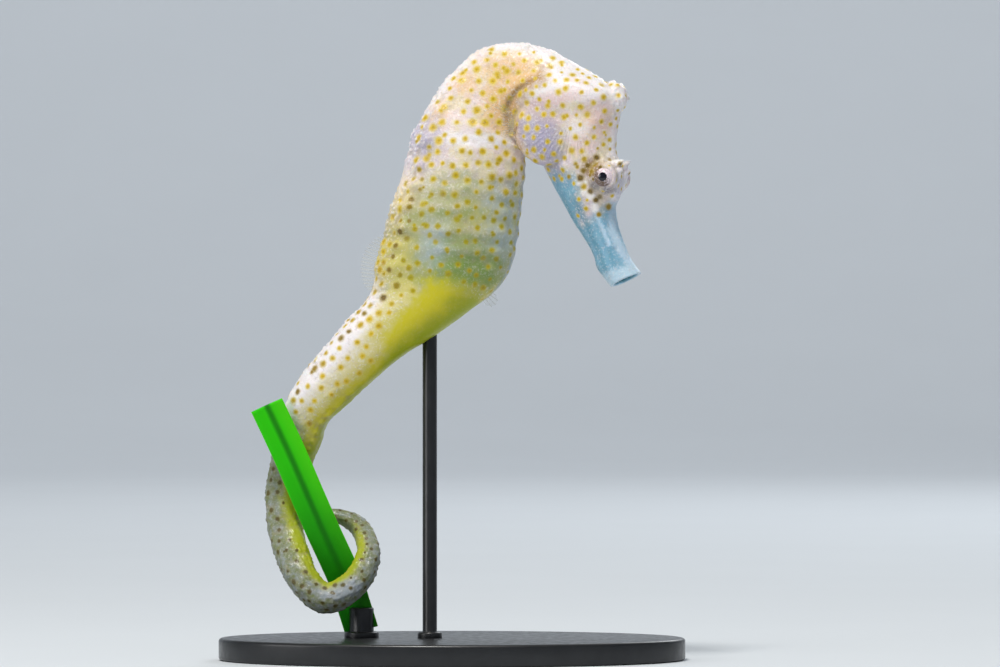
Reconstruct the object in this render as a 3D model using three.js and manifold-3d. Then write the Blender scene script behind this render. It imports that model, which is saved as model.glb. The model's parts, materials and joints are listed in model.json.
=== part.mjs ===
// A spotted seahorse, life size, gripping a cut length of seagrass blade on a plain display stand.
// Millimetres, +Z up. The animal faces +X and its right side faces -Y.
// The origin is the middle of the base's underside.
import * as THREE from "three";
import { mergeVertices } from "three/addons/utils/BufferGeometryUtils.js";
import Module from "manifold-3d";

const wasm = await Module();
wasm.setup();

// ---------------------------------------------------------------- driving sizes
const GAP = 0.3; // between neighbouring pieces
const CRUMB = 3; // an offcut smaller than this, in cubic millimetres, is thrown away

const AROUND = 16; // corners of one body section
const TRUNK_RINGS = 11;
const TAIL_RINGS = 35;
const TAIL_RING_SHRINK = 0.68; // how much shorter the last tail ring is than the first, as a share
const TAIL_SQUARENESS = 0.94; // the tail's width over its depth
const RIDGE_ANGLES = [45, 90, 135, 180]; // degrees round the section from the middle of the back
const RIDGE_SPREAD = 9; // degrees
const RIDGE_HEIGHT = 0.035; // as shares of the body's half width
const KNOB_HEIGHT = 0.07;
const RING_HEIGHT = 0.02;

const HEAD_YAW = THREE.MathUtils.degToRad(20); // the head looks a little to the animal's right
const HEAD_PIVOT_X = 12.2; // the upright line that the head turns about

const EYE_RADIUS = 2.0;
const EYE_X = 28.1;
const EYE_Z = 86.1;
const EYE_SIDE = 3.5; // from the head's middle plane to the eyeball's centre

const FIN_THICKNESS = 0.6;

const BLADE_THICKNESS = 1.0;
const BLADE_WIDTH = 6.2;
const BLADE_FOLD = 0.6; // how far the blade's middle lies behind its edges
const BLADE_TWIST = THREE.MathUtils.degToRad(8);

const BASE_LENGTH = 84;
const BASE_WIDTH = 48;
const BASE_HEIGHT = 4;
const BASE_BEVEL = 0.6;
const HOLE_DEPTH = 2.5; // of the holes in the base that hold the rods

const BODY_ROD_RADIUS = 1.3;
const BODY_ROD_X = -4;
const BODY_ROD_TOP = 60.6;
const POST_RADIUS = 2.2;
const POST_TOP = 9.4;

// ---------------------------------------------------------------- the body's stations
// A station is one section of the body. back and front are its dorsal and ventral ends,
// wide is half its width, boxy runs from 2, an ellipse, to about 4, a rounded square,
// and keelBack and keelFront are how much the section narrows towards its two ends.

// The head's middle plane, as a depth for each x.
const headDepth = (x, share = 1) => -Math.tan(HEAD_YAW * share) * (x - HEAD_PIVOT_X);

// One station in the plane that holds the trunk, turned with the head by the share look.yaw.
function flat(backX, backZ, frontX, frontZ, wide, look = {}) {
  const depthAt = (x) => (look.y ?? 0) + headDepth(x, look.yaw ?? 0);
  return {
    back: [backX, depthAt(backX), backZ],
    front: [frontX, depthAt(frontX), frontZ],
    wide,
    boxy: look.boxy ?? 2.3,
    keelBack: look.keelBack ?? 0.2,
    keelFront: look.keelFront ?? 0.3,
  };
}

// One station of the coiled tail: its centre, the way its back faces, and half its depth.
function coiled(centre, outward, deep) {
  const out = new THREE.Vector3(...outward).normalize().multiplyScalar(deep);
  const middle = new THREE.Vector3(...centre);
  return {
    back: middle.clone().add(out).toArray(),
    front: middle.clone().sub(out).toArray(),
    wide: deep * TAIL_SQUARENESS,
    boxy: 3.0,
    keelBack: 0.05,
    keelFront: 0.05,
  };
}

const TAIL = [
  coiled([-23.9, 3.9, 26.1], [0.1, 0.5, 0.9], 0.62), // tip, behind the blade
  coiled([-20.6, 4.2, 25.8], [0.3, 0.55, 0.8], 1.2),
  coiled([-16.9, 3.1, 23.9], [0.75, 0.5, 0.45], 1.65),
  coiled([-15.1, -0.3, 20.0], [0.95, 0.1, 0.1], 2.0),
  coiled([-16.1, -3.1, 15.9], [0.9, -0.3, -0.35], 2.3),
  coiled([-18.8, -4.1, 12.9], [0.45, -0.55, -0.75], 2.5),
  coiled([-22.5, -4.0, 11.4], [-0.1, -0.6, -0.85], 2.65), // lowest point, before the blade
  coiled([-26.1, -2.9, 13.8], [-0.7, -0.4, -0.65], 2.75),
  coiled([-28.5, -0.3, 18.1], [-0.9, -0.2, -0.4], 2.9),
  coiled([-29.9, 2.6, 22.6], [-0.97, 0, -0.25], 3.0),
  coiled([-30.4, 4.3, 26.9], [-0.98, 0.15, -0.1], 3.15),
  coiled([-30.1, 5.0, 31.4], [-0.95, 0.3, -0.05], 3.35),
  coiled([-28.9, 5.0, 36.0], [-0.95, 0.3, 0.1], 3.6), // behind the blade
  coiled([-27.4, 4.2, 40.8], [-0.9, 0.15, 0.4], 4.0),
];

const TAIL_LOOK = { boxy: 2.9, keelBack: 0.08, keelFront: 0.1 };
const TRUNK = [
  flat(-29.2, 48.0, -22.4, 42.7, 4.15, { ...TAIL_LOOK, y: 2.6 }),
  flat(-26.4, 52.0, -18.4, 46.5, 4.5, { ...TAIL_LOOK, y: 1.0 }),
  flat(-22.8, 56.3, -12.6, 51.7, 4.9, { ...TAIL_LOOK, y: 0.2 }), // end of the pouch
  flat(-20.6, 58.8, -8.3, 55.1, 5.1, TAIL_LOOK),
  flat(-18.3, 61.7, -2.7, 58.6, 5.4, { boxy: 2.6, keelFront: 0.12 }),
  flat(-16.1, 64.1, 3.2, 62.9, 5.7, { boxy: 2.5, keelFront: 0.15 }),
  flat(-14.3, 67.0, 8.1, 66.7, 5.9, { boxy: 2.4, keelFront: 0.25 }), // trunk meets tail
  flat(-13.5, 71.4, 10.5, 70.7, 6.2),
  flat(-12.4, 76.3, 11.6, 75.4, 6.5),
  flat(-11.0, 81.2, 12.2, 79.9, 6.6),
  flat(-9.3, 86.2, 12.8, 84.0, 6.4),
  flat(-7.9, 90.7, 13.1, 87.5, 6.0),
  flat(-6.5, 95.6, 13.1, 89.8, 5.5), // foot of the neck
  flat(-3.7, 100.4, 13.2, 91.1, 4.9, { yaw: 0.15 }),
  flat(0.1, 105.6, 13.4, 91.8, 4.4, { yaw: 0.35, boxy: 2.2 }),
  flat(4.7, 109.5, 13.8, 92.0, 4.2, { yaw: 0.6, boxy: 2.2 }),
  flat(10.6, 111.1, 14.4, 91.7, 4.3, { yaw: 0.8, boxy: 2.2 }), // top of the arch
];

const HEAD_LOOK = { yaw: 1, boxy: 2.1, keelBack: 0.25, keelFront: 0.2 };
const SNOUT_LOOK = { yaw: 1, boxy: 2.1, keelBack: 0.05, keelFront: 0.05 };
const HEAD = [
  flat(17.2, 109.8, 15.3, 90.5, 4.8, HEAD_LOOK), // nape
  flat(22.8, 106.8, 16.4, 89.3, 5.0, HEAD_LOOK),
  flat(27.1, 104.1, 17.1, 87.8, 4.9, HEAD_LOOK),
  flat(30.1, 101.2, 17.8, 86.4, 4.6, HEAD_LOOK), // crown
  flat(30.6, 97.7, 18.5, 84.9, 4.3, HEAD_LOOK),
  flat(29.8, 94.2, 19.4, 83.3, 4.1, HEAD_LOOK),
  flat(29.6, 90.8, 20.3, 81.7, 3.9, HEAD_LOOK), // between the eyes
  flat(29.6, 87.5, 21.2, 80.1, 3.6, HEAD_LOOK),
  flat(29.3, 84.3, 22.1, 78.5, 3.1, HEAD_LOOK),
  flat(29.2, 81.3, 23.2, 76.8, 2.6, SNOUT_LOOK), // root of the snout
  flat(29.8, 78.0, 24.5, 74.6, 2.35, SNOUT_LOOK),
  flat(30.8, 75.0, 25.6, 72.4, 2.3, SNOUT_LOOK),
  flat(32.0, 72.1, 26.3, 70.1, 2.4, SNOUT_LOOK),
  flat(33.6, 69.7, 28.5, 67.2, 2.65, SNOUT_LOOK), // flared lips
];

const STATIONS = [...TAIL, ...TRUNK, ...HEAD];
const TAIL_START = TAIL.length + 6;
const NECK_FOOT = TAIL.length + 12;
const ARCH_TOP = TAIL.length + 16;
const SNOUT_ROOT = TAIL.length + TRUNK.length + 9;
const LAST = STATIONS.length - 1;

// ---------------------------------------------------------------- a smooth body through the stations
// A uniform Catmull-Rom curve through a list of numbers, with straight ends.
function smooth(values, at) {
  const i = Math.min(Math.max(Math.floor(at), 0), values.length - 2);
  const u = at - i;
  const p1 = values[i];
  const p2 = values[i + 1];
  const p0 = i > 0 ? values[i - 1] : 2 * p1 - p2;
  const p3 = i + 2 < values.length ? values[i + 2] : 2 * p2 - p1;
  const curve = 2 * p0 - 5 * p1 + 4 * p2 - p3 + u * (3 * (p1 - p2) + p3 - p0);
  return p1 + 0.5 * u * (p2 - p0 + u * curve);
}

const endColumns = (end) => [0, 1, 2].map((axis) => STATIONS.map((s) => s[end][axis]));
const columns = { back: endColumns("back"), front: endColumns("front") };
for (const key of ["wide", "boxy", "keelBack", "keelFront"])
  columns[key] = STATIONS.map((s) => s[key]);

const endAt = (end, at) => new THREE.Vector3(...columns[end].map((column) => smooth(column, at)));
const valueAt = (key, at) => smooth(columns[key], at);
const middleAt = (at) => endAt("back", at).add(endAt("front", at)).multiplyScalar(0.5);

// The body's axes at one place: its middle, from there to its back, and square to both to its right.
const TANGENT_STEP = 0.02;
function axesAt(at) {
  const ahead = middleAt(Math.min(at + TANGENT_STEP, LAST));
  const behind = middleAt(Math.max(at - TANGENT_STEP, 0));
  const toBack = endAt("back", at).sub(endAt("front", at)).multiplyScalar(0.5);
  const toRight = ahead.sub(behind).cross(toBack).normalize();
  return { middle: middleAt(at), toBack, toRight };
}

// ---------------------------------------------------------------- bony rings
const STEPS = 60; // samples of the body's length between two stations
const lengths = [0];
for (let i = 1; i <= LAST * STEPS; i++) {
  const step = middleAt(i / STEPS).distanceTo(middleAt((i - 1) / STEPS));
  lengths.push(lengths[i - 1] + step);
}
const lengthTo = (at) => lengths[Math.round(at * STEPS)];
const tailLength = lengthTo(TAIL_START);
const trunkLength = lengthTo(ARCH_TOP) - tailLength;

// How many rings lie between a place and the one where trunk meets tail: positive up the trunk
// and negative down the tail. Rings crest at whole numbers.
function ringCount(at) {
  const fromJoin = lengthTo(at) - tailLength;
  if (fromJoin >= 0) return (fromJoin / trunkLength) * TRUNK_RINGS;
  const x = -fromJoin / tailLength;
  return (-TAIL_RINGS * (x - (TAIL_RING_SHRINK / 2) * x * x)) / (1 - TAIL_RING_SHRINK / 2);
}

// The places of every ring's crest and of the valley between two rings, from the tip to the arch.
function ringPlaces() {
  const places = [0];
  let next = ringCount(0) + 0.5;
  for (let i = 1; i <= ARCH_TOP * STEPS; i++)
    if (ringCount(i / STEPS) >= next) {
      places.push(i / STEPS);
      next += 0.5;
    }
  return places;
}

const fade = (low, high, x) => THREE.MathUtils.smoothstep(x, low, high);
const bump = (x, size) => Math.exp(-((x / size) ** 2));

// 1 along the brood pouch, where the ventral side is smooth, and 0 elsewhere.
const pouchAt = (at) =>
  fade(TAIL_START - 5, TAIL_START - 3.6, at) * (1 - fade(TAIL_START - 0.5, TAIL_START + 0.5, at));

// How far the skin stands out at one place, from the rings and the ridges that cross them.
function relief(at, degrees) {
  const size = valueAt("wide", at) * (1 - fade(NECK_FOOT + 1, ARCH_TOP + 1, at)) * fade(0, 3, at);
  const crest = (0.5 + 0.5 * Math.cos(2 * Math.PI * ringCount(at))) ** 2;
  const onTrunk = fade(TAIL_START - 3, TAIL_START, at);
  const strength = [1, onTrunk, 1 - 0.9 * pouchAt(at), 0.6 * onTrunk];
  const knob = RIDGE_HEIGHT + KNOB_HEIGHT * crest;
  const ridges = RIDGE_ANGLES.map((a, i) => strength[i] * bump(Math.abs(degrees) - a, RIDGE_SPREAD));
  return size * (knob * ridges.reduce((sum, r) => sum + r) + RING_HEIGHT * crest);
}

// ---------------------------------------------------------------- solids
const power = (x, n) => Math.sign(x) * Math.abs(x) ** (2 / n);

// One point of the skin, moved outwards by extra.
function skinPoint(axes, at, turn, extra) {
  const boxy = valueAt("boxy", at);
  const back = power(Math.cos(turn), boxy);
  const right = power(Math.sin(turn), boxy);
  const keel = valueAt(back > 0 ? "keelBack" : "keelFront", at);
  const degrees = THREE.MathUtils.radToDeg(turn > Math.PI ? turn - 2 * Math.PI : turn);
  const out = relief(at, degrees) + extra;
  const halfWidth = (1 - keel * back * back) * valueAt("wide", at) + out;
  return axes.middle
    .clone()
    .addScaledVector(axes.toBack, back * (1 + out / axes.toBack.length()))
    .addScaledVector(axes.toRight, right * halfWidth);
}

// A closed surface through rows of points. Each row goes round once with the same number of points.
function loft(rows) {
  const n = rows[0].length;
  const points = rows.flat();
  const faces = [];
  for (let i = 0; i < rows.length - 1; i++)
    for (let j = 0; j < n; j++) {
      const [a, b] = [i * n + j, i * n + ((j + 1) % n)];
      faces.push(a, b, b + n, a, b + n, a + n);
    }
  for (const [row, turned] of [[0, true], [rows.length - 1, false]]) {
    const centre = new THREE.Vector3();
    rows[row].forEach((p) => centre.addScaledVector(p, 1 / n));
    const middle = points.push(centre) - 1;
    for (let j = 0; j < n; j++) {
      const pair = [row * n + j, row * n + ((j + 1) % n)];
      faces.push(...(turned ? pair.reverse() : pair), middle);
    }
  }
  const geometry = new THREE.BufferGeometry().setFromPoints(points);
  return geometry.setIndex(faces);
}

function solid(geometry, matrix = new THREE.Matrix4()) {
  const bare = geometry.clone().applyMatrix4(matrix);
  bare.deleteAttribute("normal");
  bare.deleteAttribute("uv");
  const merged = mergeVertices(bare, 1e-4);
  const vertProperties = merged.attributes.position.array;
  const make = (indices) =>
    new wasm.Manifold(
      new wasm.Mesh({ numProp: 3, vertProperties, triVerts: new Uint32Array(indices) }),
    );
  const made = make(merged.index.array);
  return made.volume() > 0 ? made : make([...merged.index.array].reverse());
}

function geometryOf(shape) {
  const mesh = shape.getMesh();
  const geometry = new THREE.BufferGeometry();
  geometry.setAttribute("position", new THREE.BufferAttribute(mesh.vertProperties, 3));
  geometry.setIndex(new THREE.BufferAttribute(mesh.triVerts, 1));
  return geometry;
}

// A matrix that lays a shape's own x, y and z along three directions, with its origin at a place.
const laid = (place, x, y, z) => new THREE.Matrix4().makeBasis(x, y, z).setPosition(place);

const HEAD_STEP = 0.5; // of a station, between two rows of the head
function bodySolid(extra) {
  const places = ringPlaces();
  for (let at = ARCH_TOP + HEAD_STEP; at <= LAST; at += HEAD_STEP) places.push(at);
  const turns = Array.from({ length: AROUND }, (_, j) => (2 * Math.PI * j) / AROUND);
  const rows = places.map((at) => {
    const axes = axesAt(at);
    return turns.map((turn) => skinPoint(axes, at, turn, extra));
  });
  return solid(loft(rows));
}

// ---------------------------------------------------------------- the head's plates, orbits and spines
const forward = new THREE.Vector3(Math.cos(HEAD_YAW), -Math.sin(HEAD_YAW), 0);
const rightward = new THREE.Vector3(-Math.sin(HEAD_YAW), -Math.cos(HEAD_YAW), 0);
const upward = new THREE.Vector3(0, 0, 1);

// A point of the head: x and z on its middle plane, then side to the animal's right.
const onHead = (x, z, side) =>
  new THREE.Vector3(x, headDepth(x), z).addScaledVector(rightward, side);

// A swelling of the head. tilt turns it about the line from ear to ear, nose down.
function swelling(place, radii, tilt = 0) {
  const x = forward.clone().applyAxisAngle(rightward, tilt);
  const z = upward.clone().applyAxisAngle(rightward, tilt);
  const matrix = laid(place, x, rightward, z).scale(new THREE.Vector3(...radii));
  return solid(new THREE.SphereGeometry(1, 10, 7), matrix);
}

// A blunt spine from its foot to its tip.
function spine(foot, tip, radius) {
  const length = foot.distanceTo(tip);
  const profile = [[0, 0], [radius, 0], [0.7 * radius, 0.6 * length], [0, length]];
  const points = profile.map(([r, h]) => new THREE.Vector2(r, h));
  const y = tip.clone().sub(foot).normalize();
  const x = new THREE.Vector3(0, 1, 0).cross(y).normalize();
  return solid(new THREE.LatheGeometry(points, 6), laid(foot, x, y, x.clone().cross(y)));
}

const CORONET = { x: 28.9, z: 100.8, radii: [2.5, 2.0, 2.6] };
const CORONET_TIPS = [[29.3, 104.4, 0], [31.4, 103.2, 1.2], [32.0, 100.7, 1.4]]; // x, z, side

// Everything on the head that stands out of the plain body, grown by extra.
function headDetails(extra) {
  const grown = (radii) => radii.map((r) => r + extra);
  const crownAt = onHead(CORONET.x, CORONET.z, 0);
  const details = [swelling(crownAt, grown(CORONET.radii), 0.4)];
  for (const side of [1, -1]) {
    details.push(swelling(onHead(17.8, 95.0, side * 3.2), grown([5.4, 2.1, 6.1]), 0.3)); // gill cover
    details.push(swelling(onHead(20.0, 102.3, side * 2.8), grown([7.6, 2.0, 2.8]), -0.12)); // temple
    details.push(swelling(onHead(27.7, 86.2, side * 2.5), grown([2.4, 2.2, 2.8]), 0.2)); // orbit
    details.push(spine(onHead(28.9, 87.2, side * 2.4), onHead(30.5, 89.9, side * 4.2), 1.2 + extra));
    for (const [x, z, out] of CORONET_TIPS)
      if (out || side > 0) details.push(spine(crownAt, onHead(x, z, side * out), 1.6 + extra));
  }
  return details;
}

const animal = (extra) => headDetails(extra).reduce((sum, s) => sum.add(s), bodySolid(extra));

// ---------------------------------------------------------------- thin cuts between the named lengths
// A sheet GAP thick that follows a line of x, z points and spans width across the animal.
function strip(line, width) {
  const points = line.map(([x, z]) => new THREE.Vector2(x, z));
  const normals = points.map((p, i) => {
    const along = points[Math.min(i + 1, points.length - 1)]
      .clone()
      .sub(points[Math.max(i - 1, 0)])
      .normalize();
    return new THREE.Vector2(-along.y, along.x).multiplyScalar(GAP / 2);
  });
  const left = points.map((p, i) => p.clone().add(normals[i]));
  const right = points.map((p, i) => p.clone().sub(normals[i])).reverse();
  const geometry = new THREE.ExtrudeGeometry(new THREE.Shape([...left, ...right]), {
    depth: width,
    bevelEnabled: false,
  });
  const x = new THREE.Vector3(1, 0, 0);
  const y = new THREE.Vector3(0, 0, 1);
  return solid(geometry, laid(new THREE.Vector3(0, width / 2, 0), x, y, x.clone().cross(y)));
}

// A square sheet GAP thick across the body at one place, a little larger than its section.
function kerf(at, reach) {
  const axes = axesAt(at);
  const x = axes.toBack.clone().normalize();
  const z = x.clone().cross(axes.toRight).normalize();
  const deep = 2 * axes.toBack.length() * reach;
  const wide = 3 * valueAt("wide", at);
  return solid(new THREE.BoxGeometry(deep, wide, GAP), laid(axes.middle, x, axes.toRight, z));
}

const TAIL_CUTS = [3.3, 7.4, 11.2, 14.6]; // stations
const TRUNK_WIDTH = 18;
const cuts = [
  ...TAIL_CUTS.map((at) => kerf(at, 1.4)),
  kerf(NECK_FOOT + 0.5, 1.03),
  kerf(SNOUT_ROOT - 0.4, 1.3),
  strip([[-18, 66.6], [-3.6, 68.4], [3.2, 67.0], [7.6, 62.5]], TRUNK_WIDTH), // trunk from tail and pouch
  strip([[-3.6, 68.4], [-11.9, 59.3], [-13.4, 50]], TRUNK_WIDTH), // pouch from tail
  strip([[10.2, 114], [11.9, 94.4], [13.8, 91.4], [14.4, 86]], 28), // neck from head
  strip([[26.9, 105.6], [33.2, 97.6]], 28), // coronet from head
];

const eyeCentre = (side) => onHead(EYE_X, EYE_Z, side * EYE_SIDE);
const ball = (centre, radius) =>
  solid(new THREE.SphereGeometry(radius, 14, 10), new THREE.Matrix4().setPosition(centre));

// An upright round rod.
const ROD_SIDES = 16;
const rod = (x, y, bottom, top, radius) =>
  solid(
    new THREE.CylinderGeometry(radius, radius, top - bottom, ROD_SIDES),
    laid(
      new THREE.Vector3(x, y, (top + bottom) / 2),
      new THREE.Vector3(1, 0, 0),
      new THREE.Vector3(0, 0, 1),
      new THREE.Vector3(0, -1, 0),
    ),
  );

let flesh = animal(0);
for (const cut of cuts) flesh = flesh.subtract(cut);
for (const side of [1, -1]) flesh = flesh.subtract(ball(eyeCentre(side), EYE_RADIUS + GAP));
const socketFoot = BODY_ROD_TOP - 8;
flesh = flesh.subtract(
  rod(BODY_ROD_X, 0, socketFoot, BODY_ROD_TOP + GAP, BODY_ROD_RADIUS + GAP),
);

// Each piece of flesh takes the name of the place that its middle is nearest to.
const FLESH_PLACES = {
  tail_tip: middleAt(1.6),
  tail_hook: middleAt(5.5),
  tail_lower: middleAt(9.3),
  tail_middle: middleAt(12.9),
  tail_upper: new THREE.Vector3(-17.5, 0, 59.5),
  brood_pouch: new THREE.Vector3(-3.5, 0, 62),
  trunk: middleAt(TAIL_START + 3.5),
  neck: middleAt(NECK_FOOT + 2.5),
  head: onHead(22, 94, 0),
  coronet: onHead(30.4, 102.4, 0),
  snout: middleAt(LAST - 2),
};

function namedFlesh() {
  const found = {};
  for (const piece of flesh.decompose()) {
    if (piece.volume() < CRUMB) continue;
    const { min, max } = piece.boundingBox();
    const middle = new THREE.Vector3(...min).add(new THREE.Vector3(...max)).multiplyScalar(0.5);
    const distance = (name) => FLESH_PLACES[name].distanceTo(middle);
    const name = Object.keys(FLESH_PLACES).reduce((a, b) => (distance(a) < distance(b) ? a : b));
    found[name] = found[name] ? found[name].add(piece) : piece;
  }
  return found;
}

// ---------------------------------------------------------------- fins
// A fan of rays on a straight root. length is the longest ray's and spread is in degrees.
function finGeometry({ root, length, spread, rays }) {
  const outline = [];
  const STEPS_PER_RAY = 2;
  const count = rays * STEPS_PER_RAY;
  for (let i = 0; i <= count; i++) {
    const s = i / count;
    const angle = THREE.MathUtils.degToRad(90 + spread * (0.5 - s));
    const scallop = i % STEPS_PER_RAY ? 0.93 : 1;
    const reach = length * scallop * Math.sin(Math.PI * (0.12 + 0.76 * s)) ** 0.7;
    const x = root * (s - 0.5);
    outline.push(new THREE.Vector2(x + reach * Math.cos(angle), reach * Math.sin(angle)));
  }
  outline.push(new THREE.Vector2(root / 2, 0), new THREE.Vector2(-root / 2, 0));
  const settings = { depth: FIN_THICKNESS, bevelEnabled: false };
  return new THREE.ExtrudeGeometry(new THREE.Shape(outline), settings).translate(
    0,
    0,
    -FIN_THICKNESS / 2,
  );
}

const clearance = animal(GAP);
const largest = (shape) => shape.decompose().reduce((a, b) => (a.volume() > b.volume() ? a : b));

// A fin whose root lies along one direction and whose rays point along another, clear of the skin.
function fin(place, along, out, sizes) {
  const x = along.clone().normalize();
  const z = x.clone().cross(out).normalize();
  const plate = solid(finGeometry(sizes), laid(place, x, z.clone().cross(x), z));
  return largest(plate.subtract(clearance));
}

const DORSAL_FIN = { root: 9.0, length: 4.6, spread: 30, rays: 17 };
const ANAL_FIN = { root: 2.0, length: 2.4, spread: 30, rays: 4 };
const PECTORAL_FIN = { root: 3.2, length: 7.0, spread: 55, rays: 12 };

function finSolids() {
  const dorsalAt = new THREE.Vector3(-11.9, 0, 71.0);
  const anal = new THREE.Vector3(6.2, 0, 65.6);
  const made = {
    dorsal_fin: fin(
      dorsalAt,
      new THREE.Vector3(0.25, 0, 1),
      new THREE.Vector3(-1, 0, 0),
      DORSAL_FIN,
    ),
    anal_fin: fin(anal, new THREE.Vector3(0.7, 0, 0.7), new THREE.Vector3(0.7, 0, -0.7), ANAL_FIN),
  };
  for (const [name, side] of [["right", 1], ["left", -1]]) {
    const place = onHead(12.9, 96.2, side * 3.2);
    const along = new THREE.Vector3(0.15, 0, 1).multiplyScalar(side);
    const out = forward.clone().multiplyScalar(-0.88).addScaledVector(rightward, side * 0.48);
    made["pectoral_fin_" + name] = fin(place, along, out, PECTORAL_FIN);
  }
  return made;
}

// ---------------------------------------------------------------- the blade that the tail holds
const BLADE_LINE = [
  [-33.3, 45.9], [-29.3, 37.3], [-25.8, 29.2], [-23.2, 23.2], [-19.3, 14.6], [-17.5, 9.2], [-16.3, 5.2],
]; // x, z from the cut top to the foot
const BLADE_LEAN = 0.075; // how much nearer the blade's top is than its foot, per millimetre of height
const BLADE_FOOT_Y = 1.4;
const BLADE_ROWS = 12;

function bladePlace(t) {
  const at = t * (BLADE_LINE.length - 1);
  const [x, z] = [0, 1].map((axis) => smooth(BLADE_LINE.map((p) => p[axis]), at));
  return new THREE.Vector3(x, BLADE_FOOT_Y - BLADE_LEAN * (z - BASE_HEIGHT), z);
}

// The blade's section: two flat halves that meet in a shallow fold, grown by extra.
function bladeRow(t, extra) {
  const down = bladePlace(t + 0.01).sub(bladePlace(t - 0.01)).normalize();
  const across = new THREE.Vector3(0, -1, 0).cross(down).normalize().applyAxisAngle(down, BLADE_TWIST);
  const toBack = across.clone().cross(down).normalize();
  const half = BLADE_THICKNESS / 2 + extra;
  const edge = BLADE_WIDTH / 2 + extra;
  const section = [
    [-edge, 0], [-edge * 0.9, half * 0.8], [0, half + BLADE_FOLD], [edge * 0.9, half * 0.8],
    [edge, 0], [edge * 0.9, -half * 0.8], [0, -half + BLADE_FOLD], [-edge * 0.9, -half * 0.8],
  ];
  return section.map(([a, b]) =>
    bladePlace(t).addScaledVector(across, a).addScaledVector(toBack, b),
  );
}

function bladeSolid(extra) {
  const past = extra / bladePlace(0).distanceTo(bladePlace(1));
  const rows = Array.from({ length: BLADE_ROWS + 1 }, (_, i) =>
    bladeRow(THREE.MathUtils.lerp(-past, 1 + past, i / BLADE_ROWS), extra),
  );
  return solid(loft(rows));
}

// ---------------------------------------------------------------- the stand
function baseSolid() {
  const profile = [
    [0, 0], [1 - BASE_BEVEL / BASE_LENGTH, 0], [1, BASE_BEVEL], [1, BASE_HEIGHT - BASE_BEVEL],
    [1 - (2 * BASE_BEVEL) / BASE_LENGTH, BASE_HEIGHT], [0, BASE_HEIGHT],
  ].map(([r, h]) => new THREE.Vector2(r, h));
  const matrix = new THREE.Matrix4()
    .makeRotationX(Math.PI / 2)
    .premultiply(new THREE.Matrix4().makeScale(BASE_LENGTH / 2, BASE_WIDTH / 2, 1));
  return solid(new THREE.LatheGeometry(profile, 40), matrix);
}

function standSolids() {
  const holeBottom = BASE_HEIGHT - HOLE_DEPTH;
  const foot = bladePlace(1);
  const hole = (x, y, radius) => rod(x, y, holeBottom, BASE_HEIGHT + 1, radius + GAP);
  const base = baseSolid()
    .subtract(hole(BODY_ROD_X, 0, BODY_ROD_RADIUS))
    .subtract(hole(foot.x, foot.y, POST_RADIUS));
  return {
    stand_base: base,
    stand_rod_body: rod(BODY_ROD_X, 0, holeBottom + GAP, BODY_ROD_TOP, BODY_ROD_RADIUS),
    stand_rod_perch: rod(foot.x, foot.y, holeBottom + GAP, POST_TOP, POST_RADIUS),
  };
}

// ---------------------------------------------------------------- the finished group
const finish = (color, roughness, metalness = 0) => ({ color, roughness, metalness });
const SKIN = finish(0xe6dcc6, 0.5);
const POUCH_SKIN = finish(0xc9b81c, 0.45);
const SNOUT_SKIN = finish(0xb9cdd3, 0.4);
const FIN_SKIN = finish(0xd9dccb, 0.4);
const EYE = finish(0xd8c4cc, 0.1);
const LEAF = finish(0x23b515, 0.35);
const STAND = finish(0x2b2c2e, 0.4, 0.6);

const blade = bladeSolid(0);
const stand = standSolids();
stand.stand_rod_perch = stand.stand_rod_perch.subtract(bladeSolid(GAP));

const pieces = {
  ...Object.fromEntries(Object.entries(namedFlesh()).map(([name, s]) => [name, [s, SKIN]])),
  ...Object.fromEntries(Object.entries(finSolids()).map(([name, s]) => [name, [s, FIN_SKIN]])),
  eye_right: [ball(eyeCentre(1), EYE_RADIUS), EYE],
  eye_left: [ball(eyeCentre(-1), EYE_RADIUS), EYE],
  perch_blade: [blade, LEAF],
  ...Object.fromEntries(Object.entries(stand).map(([name, s]) => [name, [s, STAND]])),
};
pieces.brood_pouch[1] = POUCH_SKIN;
pieces.snout[1] = SNOUT_SKIN;

const seahorse = new THREE.Group();
for (const [name, [shape, look]] of Object.entries(pieces)) {
  const mesh = new THREE.Mesh(geometryOf(shape), new THREE.MeshStandardMaterial(look));
  mesh.name = name;
  seahorse.add(mesh);
}

export default seahorse;
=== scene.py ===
# %% [markdown]
# # A spotted seahorse on its display stand
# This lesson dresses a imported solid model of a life-size museum seahorse. The solids give every
# size and place, so the first step loads them and measures the room that they take.

# %% Load the solids
import functools
import json
import math

import bpy
import numpy as np
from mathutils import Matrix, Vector, noise

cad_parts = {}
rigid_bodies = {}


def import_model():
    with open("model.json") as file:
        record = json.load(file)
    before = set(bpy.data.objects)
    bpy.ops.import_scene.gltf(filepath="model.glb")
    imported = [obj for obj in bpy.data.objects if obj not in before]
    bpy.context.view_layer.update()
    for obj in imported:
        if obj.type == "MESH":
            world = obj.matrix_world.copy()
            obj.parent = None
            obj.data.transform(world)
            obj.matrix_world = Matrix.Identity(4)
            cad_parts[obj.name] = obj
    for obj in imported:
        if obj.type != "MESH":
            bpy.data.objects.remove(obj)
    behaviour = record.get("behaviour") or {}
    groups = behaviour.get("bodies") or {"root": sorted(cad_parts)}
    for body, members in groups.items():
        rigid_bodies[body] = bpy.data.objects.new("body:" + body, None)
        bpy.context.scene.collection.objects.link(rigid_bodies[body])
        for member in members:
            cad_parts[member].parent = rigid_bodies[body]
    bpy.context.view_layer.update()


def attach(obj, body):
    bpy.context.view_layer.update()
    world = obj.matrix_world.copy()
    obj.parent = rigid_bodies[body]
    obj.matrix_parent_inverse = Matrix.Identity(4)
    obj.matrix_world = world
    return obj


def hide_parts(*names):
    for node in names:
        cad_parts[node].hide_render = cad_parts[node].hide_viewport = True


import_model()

MM = 0.001  # one millimetre in metres; the sizes below are in millimetres, as a museum maker gives them

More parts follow.
